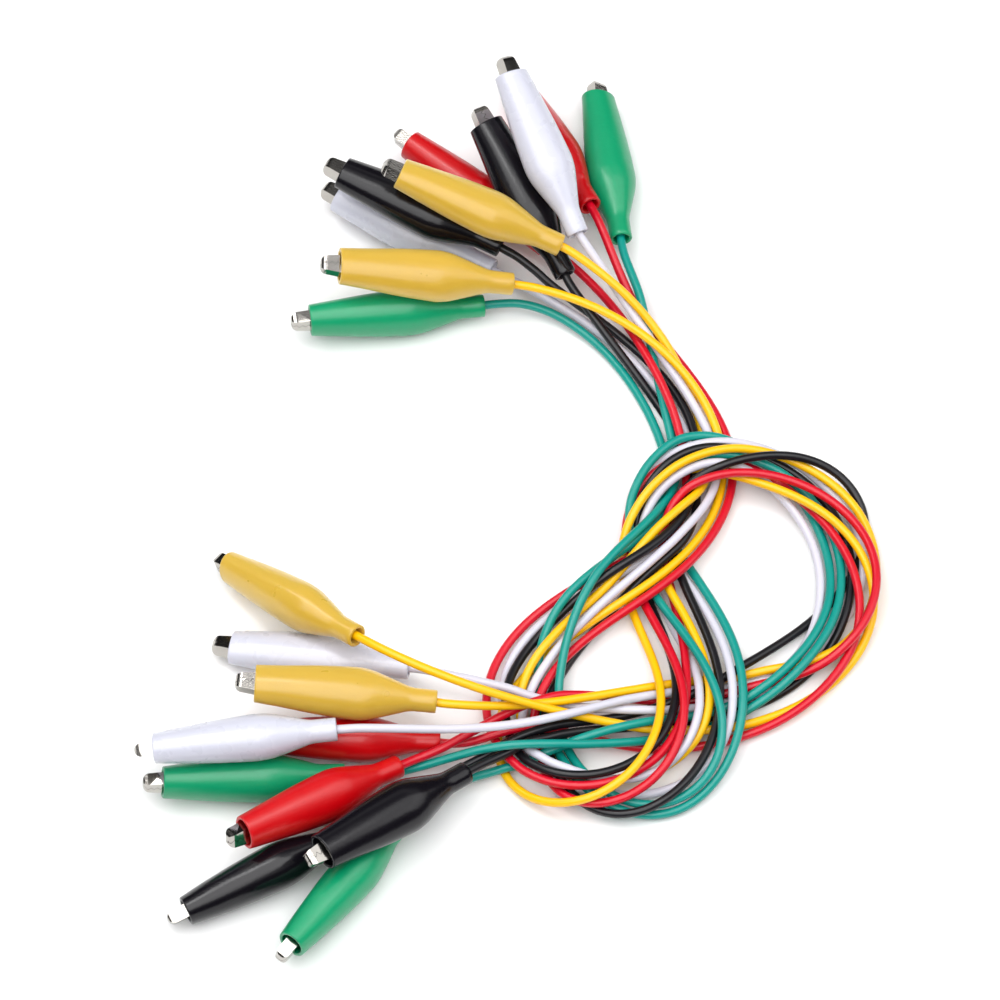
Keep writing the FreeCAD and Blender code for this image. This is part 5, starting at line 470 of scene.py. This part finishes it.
JACKET = {
    "green": material("green_jacket", srgb(0, 146, 134), rough=0.34, grain=0.08, bump=0.08,
                      subsurface=0.05),
    "red": material("red_jacket", srgb(208, 0, 34), rough=0.34, grain=0.08, bump=0.08,
                    subsurface=0.05),
    "black": material("black_jacket", srgb(18, 17, 22), rough=0.30, grain=0.08, bump=0.08,
                      specular=0.4),
    "white": material("white_jacket", srgb(208, 206, 218), rough=0.34, grain=0.03, bump=0.08,
                      subsurface=0.03),
    "yellow": material("yellow_jacket", srgb(248, 190, 0), rough=0.34, grain=0.05, bump=0.08,
                       subsurface=0.06),
}
PLATE = material("nickel_plate", srgb(182, 178, 172), rough=0.14, rough_spread=0.08, metal=1.0,
                 grain=0.12, grain_scale=700, bump=0.08, bump_scale=2500)
STEEL = material("rivet_steel", srgb(178, 178, 180), rough=0.24, rough_spread=0.08, metal=1.0,
                 grain=0.15)
SPRING = material("spring_steel", srgb(140, 140, 146), rough=0.22, metal=1.0, grain=0.12)
COPPER = material("tinned_copper", srgb(196, 132, 92), rough=0.35, metal=1.0, grain=0.3,
                  bump=0.3, bump_scale=4000)
SOLDER = material("solder", srgb(166, 168, 172), rough=0.40, metal=1.0, grain=0.2, bump=0.3)


# ---- Mesh helpers ----

def to_world(local, clip):
    """Clip coordinates in millimetres to world metres."""
    origin, x, y, z = CLIPS[clip]
    return (origin + local[..., 0:1] * x + local[..., 1:2] * y + local[..., 2:3] * z) * MM


def ring_mesh(name, rings, closed_loop, mat):
    """Smooth mesh through rings of points; closed_loop joins the last ring to the first."""
    count, size = rings.shape[:2]
    a = np.arange(size)
    b = (a + 1) % size
    faces = []
    for i in range(count if closed_loop else count - 1):
        p, q = i * size, ((i + 1) % count) * size
        faces.append(np.stack([p + a, p + b, q + b, q + a], 1))
    mesh = bpy.data.meshes.new(name)
    mesh.from_pydata(rings.reshape(-1, 3).tolist(), [], np.vstack(faces).tolist())
    mesh.update()
    mesh.polygons.foreach_set("use_smooth", np.ones(len(mesh.polygons), bool))
    mesh.materials.append(mat)
    ob = bpy.data.objects.new(name, mesh)
    bpy.context.scene.collection.objects.link(ob)

    bm = bmesh.new()
    bm.from_mesh(mesh)
    bmesh.ops.recalc_face_normals(bm, faces=bm.faces)
    bm.to_mesh(mesh)
    bm.free()
    return ob


def monotone_cubic(xs, ys, at):
    """Values at the given places of the monotone cubic through the stations."""
    h = np.diff(xs)
    d = np.diff(ys) / h
    m = np.zeros(len(xs))
    m[0], m[-1] = d[0], d[-1]
    for i in range(1, len(xs) - 1):
        if d[i - 1] * d[i] > 0:
            w1, w2 = 2 * h[i] + h[i - 1], h[i] + 2 * h[i - 1]
            m[i] = (w1 + w2) / (w1 / d[i - 1] + w2 / d[i])
    k = np.clip(np.searchsorted(xs, at) - 1, 0, len(xs) - 2)
    t = (at - xs[k]) / h[k]
    return ((1 + 2 * t) * (1 - t) ** 2 * ys[k] + t * (1 - t) ** 2 * h[k] * m[k]
            + t * t * (3 - 2 * t) * ys[k + 1] + t * t * (t - 1) * h[k] * m[k + 1])


def natural_spline(knots, step):
    """Natural cubic spline through the knots by chord length, sampled about every step."""
    t = np.concatenate([[0], np.cumsum(np.linalg.norm(np.diff(knots, axis=0), axis=1))])
    n = len(knots)
    h = np.diff(t)
    A = np.zeros((n, n))
    R = np.zeros((n, 3))
    A[0, 0] = A[-1, -1] = 1
    for i in range(1, n - 1):
        A[i, i - 1], A[i, i], A[i, i + 1] = h[i - 1], 2 * (h[i - 1] + h[i]), h[i]
        R[i] = 6 * ((knots[i + 1] - knots[i]) / h[i] - (knots[i] - knots[i - 1]) / h[i - 1])
    M = np.linalg.solve(A, R)
    q = np.linspace(0, t[-1], int(t[-1] / step) + 1)
    k = np.clip(np.searchsorted(t, q) - 1, 0, n - 2)
    a, b = (t[k + 1] - q)[:, None], (q - t[k])[:, None]
    hk = h[k][:, None]
    return (M[k] * a ** 3 / (6 * hk) + M[k + 1] * b ** 3 / (6 * hk)
            + (knots[k] / hk - M[k] * hk / 6) * a + (knots[k + 1] / hk - M[k + 1] * hk / 6) * b)


def name_seed(name):
    return sum(ord(letter) for letter in name)


# ---- Boots: hollow sleeves from a round collar at the wire to an open mouth at the jaws ----

# Along the clip x axis: x, half width along y, half height along z.
BOOT_STATIONS = np.array([
    (-25.0, 2.28, 2.28), (-20.6, 2.31, 2.33), (-19.8, 2.40, 2.44), (-18.0, 2.88, 2.98),
    (-15.0, 3.70, 4.00), (-11.5, 4.46, 5.06), (-9.5, 4.60, 5.30), (-6.0, 4.46, 5.16),
    (-2.0, 4.20, 4.90), (4.0, 3.65, 4.30), (10.5, 2.95, 3.70)])
# Runs of ring positions: from x, to x, number of rings.
BOOT_RING_RUNS = [(-25.0, -20.8, 9), (-20.4, -19.2, 7), (-18.6, -12.5, 14), (-12.0, -7.0, 10),
                  (-6.0, 9.9, 20), (10.2, 10.4, 2)]
BOOT_WALL = 0.7
# Rounded ends, as x offset from the end station and inset from its outline.
COLLAR_ROUND = [(0.0, 0.568), (-0.06, 0.352), (0.0, 0.11), (0.15, 0.0)]
MOUTH_ROUND = [(0.0, 0.10), (0.06, 0.3), (0.0, 0.58), (-0.12, BOOT_WALL)]
RING_POINTS = 56
MOUTH_VARIES_FROM = 6.0   # x past which each mouth has its own shape
# Low round swellings on two boots: x on the clip axis, radius.
SWELLINGS = {"T1": (-6.8, 1.0), "T9": (-18.9, 0.62)}
SWELLING_HEIGHT = 0.28


def boot_rings(seed):
    """Rings of a boot in clip coordinates, and how many are collar end or outside."""
    xs, half_widths, half_heights = BOOT_STATIONS.T
    at = np.concatenate([np.linspace(*run) for run in BOOT_RING_RUNS])
    outer = list(zip(at, monotone_cubic(xs, half_widths, at),
                     monotone_cubic(xs, half_heights, at)))

    def rounded(station, offsets):
        x, half_y, half_z = station
        return [(x + dx, half_y - inset, half_z - inset) for dx, inset in offsets]

    inner = [(x, a - BOOT_WALL, b - BOOT_WALL) for x, a, b in outer[1:-1]][::-1]
    outside = rounded(BOOT_STATIONS[0], COLLAR_ROUND) + outer[2:]
    profile = outside + rounded(BOOT_STATIONS[-1], MOUTH_ROUND) + inner

    rng = np.random.RandomState(seed)
    flatten = rng.uniform(-1, 1, 4)[0] * 0.03   # only the first of four draws is used
    slant = rng.uniform(0.2, 0.45)
    angles = np.linspace(0, 2 * math.pi, RING_POINTS, endpoint=False)
    rings = []
    for x, half_y, half_z in profile:
        front = (x - MOUTH_VARIES_FROM) / (xs[-1] - MOUTH_VARIES_FROM)
        front = max(0.0, min(1.0, front))
        rings.append(np.stack([
            x + slant * front * np.sin(angles) * 0.5,
            half_y * np.cos(angles) * (1 + flatten * front),
            half_z * np.sin(angles) * (1 - flatten * front)], 1))
    return np.array(rings), len(outside)


def raise_swelling(outside, ring_xs, clip):
    """Push the outside rings (world metres) out around a point on the camera's upper right."""
    swelling_x, radius = SWELLINGS[clip]
    origin, x, y, z = CLIPS[clip]
    look = -VIEW_FORWARD * 0.75 + (VIEW_UP * 0.7 + VIEW_RIGHT * 0.7) * 0.66
    angle = math.atan2(look @ z, look @ y)
    ring = int(np.abs(ring_xs - swelling_x).argmin())
    skin = outside / MM
    centre = skin[ring, int(round(angle / (2 * math.pi) * RING_POINTS)) % RING_POINTS]
    distance = np.linalg.norm(skin - centre, axis=2)
    away = centre - (origin + x * swelling_x)
    away /= np.linalg.norm(away)
    outside += away * (SWELLING_HEIGHT * np.exp(-(distance / radius) ** 4))[..., None] * MM


def build_boot(lead, end, clip):
    colour = lead.split("_")[0]
    rings, outside_count = boot_rings(name_seed(lead + end))
    world_rings = to_world(rings, clip)
    if clip in SWELLINGS:
        raise_swelling(world_rings[:outside_count], rings[:outside_count, 0, 0], clip)
    ob = ring_mesh("%s_boot_%s" % (lead, end), world_rings, True, BOOT[colour])
    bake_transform(ob)
    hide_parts(lead + "_boots")


# ---- Wires ----

# Path of the wire inside a boot, in the clip's y = 0 plane: x, z.
WIRE_IN_BOOT = [(-11.2, -1.66), (-12.3, -1.48), (-13.6, -1.37), (-16.0, -0.88), (-18.5, -0.35),
                (-21.0, -0.08), (-23.0, 0.0)]
WIRE_RADIUS = 0.88
WIRE_STEP = 0.5
WIRE_SIDES = 20
WIRE_END_SCALE = 0.58   # size of the ring that turns in at each open end


def build_wire(lead, clip_a, clip_b, run):
    colour = lead.split("_")[0]
    in_boot = np.array([(x, 0.0, z) for x, z in WIRE_IN_BOOT])
    first, last = (to_world(in_boot, clip) / MM for clip in (clip_a, clip_b))
    path = natural_spline(np.vstack([first, run, last[::-1]]), WIRE_STEP)
    tangents = np.gradient(path, axis=0)
    tangents /= np.linalg.norm(tangents, axis=1)[:, None]

    rng = np.random.RandomState(name_seed(lead))
    phase = rng.uniform(0, 6.28, 3)
    angles = np.linspace(0, 2 * math.pi, WIRE_SIDES, endpoint=False)
    cos, sin = np.cos(angles)[:, None], np.sin(angles)[:, None]
    side = np.cross(tangents[0], [0, 0, 1.0])
    side /= np.linalg.norm(side)
    rings = []
    for i, (centre, tangent) in enumerate(zip(path, tangents)):
        # carry the side direction along without twist
        side = side - tangent * (side @ tangent)
        side /= np.linalg.norm(side)
        # two slow waves thin the wire by up to 2 %
        radius = WIRE_RADIUS * (1 - 0.006 * (1 + math.sin(i * 0.07 + phase[0]))
                                - 0.004 * (1 + math.sin(i * 0.23 + phase[1])))
        rings.append(centre + radius * (cos * side + sin * np.cross(tangent, side)))
    start, end = (path[i] + (rings[i] - path[i]) * WIRE_END_SCALE for i in (0, -1))
    ob = ring_mesh(lead + "_wire_skin", np.array([start] + rings + [end]) * MM, False,
                   JACKET[colour])
    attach(ob, "leads")
    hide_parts(lead + "_jacket")


for lead, (clip_a, clip_b, _) in LEADS.items():
    build_boot(lead, "a", clip_a)
    build_boot(lead, "b", clip_b)
for lead, (clip_a, clip_b, run) in LEADS.items():
    build_wire(lead, clip_a, clip_b, run)


# ---- CAD pieces: materials, and softened edges on the jaws ----

HARDWARE = {"pivot_rivets": STEEL, "torsion_springs": SPRING, "solder_joints": SOLDER}


def cad_material(name):
    if "_jaw" in name:
        return PLATE
    if name in HARDWARE:
        return HARDWARE[name]
    if name.endswith("_conductors"):
        return COPPER
    return (BOOT if name.endswith("_boots") else JACKET)[name.split("_")[0]]


def soften_edges(ob):
    weld = ob.modifiers.new("weld", "WELD")
    weld.merge_threshold = 2e-6
    bevel = ob.modifiers.new("soft_edges", "BEVEL")
    bevel.width = 0.00007
    bevel.segments = 2
    bevel.limit_method = "ANGLE"
    bevel.angle_limit = math.radians(28)
    bevel.use_clamp_overlap = True
    bevel.harden_normals = True


for name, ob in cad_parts.items():
    ob.data.materials.clear()
    ob.data.materials.append(cad_material(name))
    if "_jaw" in name:
        soften_edges(ob)


# ---- Floor, world, lights and camera, in metres ----

def build_floor():
    # just below z = 0, clear of the lowest parts
    bpy.ops.mesh.primitive_plane_add(size=6.0, location=(0, 0, -0.0001))
    floor = bpy.context.object
    floor.name = "floor"
    floor.data.materials.append(material(
        "floor_paper", (0.92, 0.92, 0.92, 1.0), rough=0.85, grain=0.02, grain_scale=40,
        specular=0.2))


# Bands of sky brightness by the world direction's z: position, grey level.
SKY_BANDS = [(0.48, 0.04), (0.52, 0.10), (0.60, 0.85), (0.68, 0.80), (0.74, 0.10),
             (0.82, 0.20), (0.90, 1.30)]


def build_world():
    world = bpy.data.worlds.new("studio")
    bpy.context.scene.world = world
    world.use_nodes = True
    nodes, link = world.node_tree.nodes, world.node_tree.links.new
    background = nodes["Background"]
    coords = nodes.new("ShaderNodeTexCoord")
    split = nodes.new("ShaderNodeSeparateXYZ")
    ramp = nodes.new("ShaderNodeValToRGB")
    link(coords.outputs["Generated"], split.inputs[0])
    link(split.outputs["Z"], ramp.inputs["Fac"])
    stops = ramp.color_ramp.elements
    stops[0].position, stops[0].color = 0.0, (0.03, 0.03, 0.035, 1)
    stops[1].position, stops[1].color = 1.0, (1.0, 1.0, 1.0, 1)
    for position, grey in SKY_BANDS:
        stops.new(position).color = (grey, grey, grey * 1.02, 1)
    link(ramp.outputs["Color"], background.inputs["Color"])
    background.inputs["Strength"].default_value = 0.62


def area_light(name, location, size, power):
    """Rectangular light aimed at the origin."""
    light = bpy.data.lights.new(name, "AREA")
    light.shape = "RECTANGLE"
    light.size, light.size_y = size
    light.energy = power
    ob = bpy.data.objects.new(name, light)
    bpy.context.scene.collection.objects.link(ob)
    ob.location = location
    ob.rotation_euler = (-Vector(location)).to_track_quat("-Z", "Y").to_euler()


VIEW_CENTRE = np.array((-2.353, 3.323, 0.050)) * MM
CAMERA_DISTANCE = 1.4


def build_camera():
    lens = bpy.data.cameras.new("camera")
    lens.sensor_width = 36.0
    lens.lens = 252.0
    lens.clip_start = 0.01
    lens.clip_end = 20.0
    camera = bpy.data.objects.new("camera", lens)
    bpy.context.scene.collection.objects.link(camera)
    eye = VIEW_CENTRE - VIEW_FORWARD * CAMERA_DISTANCE
    turn = Matrix(tuple(zip(VIEW_RIGHT, VIEW_UP, -VIEW_FORWARD)))
    camera.matrix_world = Matrix.Translation(Vector(eye)) @ turn.to_4x4()
    bpy.context.scene.camera = camera


build_floor()
build_world()
bpy.context.scene.view_settings.view_transform = "Standard"
area_light("key", location=(-0.15, -0.35, 1.25), size=(1.5, 1.5), power=22.0)
area_light("strip", location=(-0.45, 0.35, 0.80), size=(0.10, 0.9), power=2.2)
area_light("fill", location=(0.9, 0.1, 0.9), size=(1.0, 1.0), power=5.0)
build_camera()

bpy.context.view_layer.update()
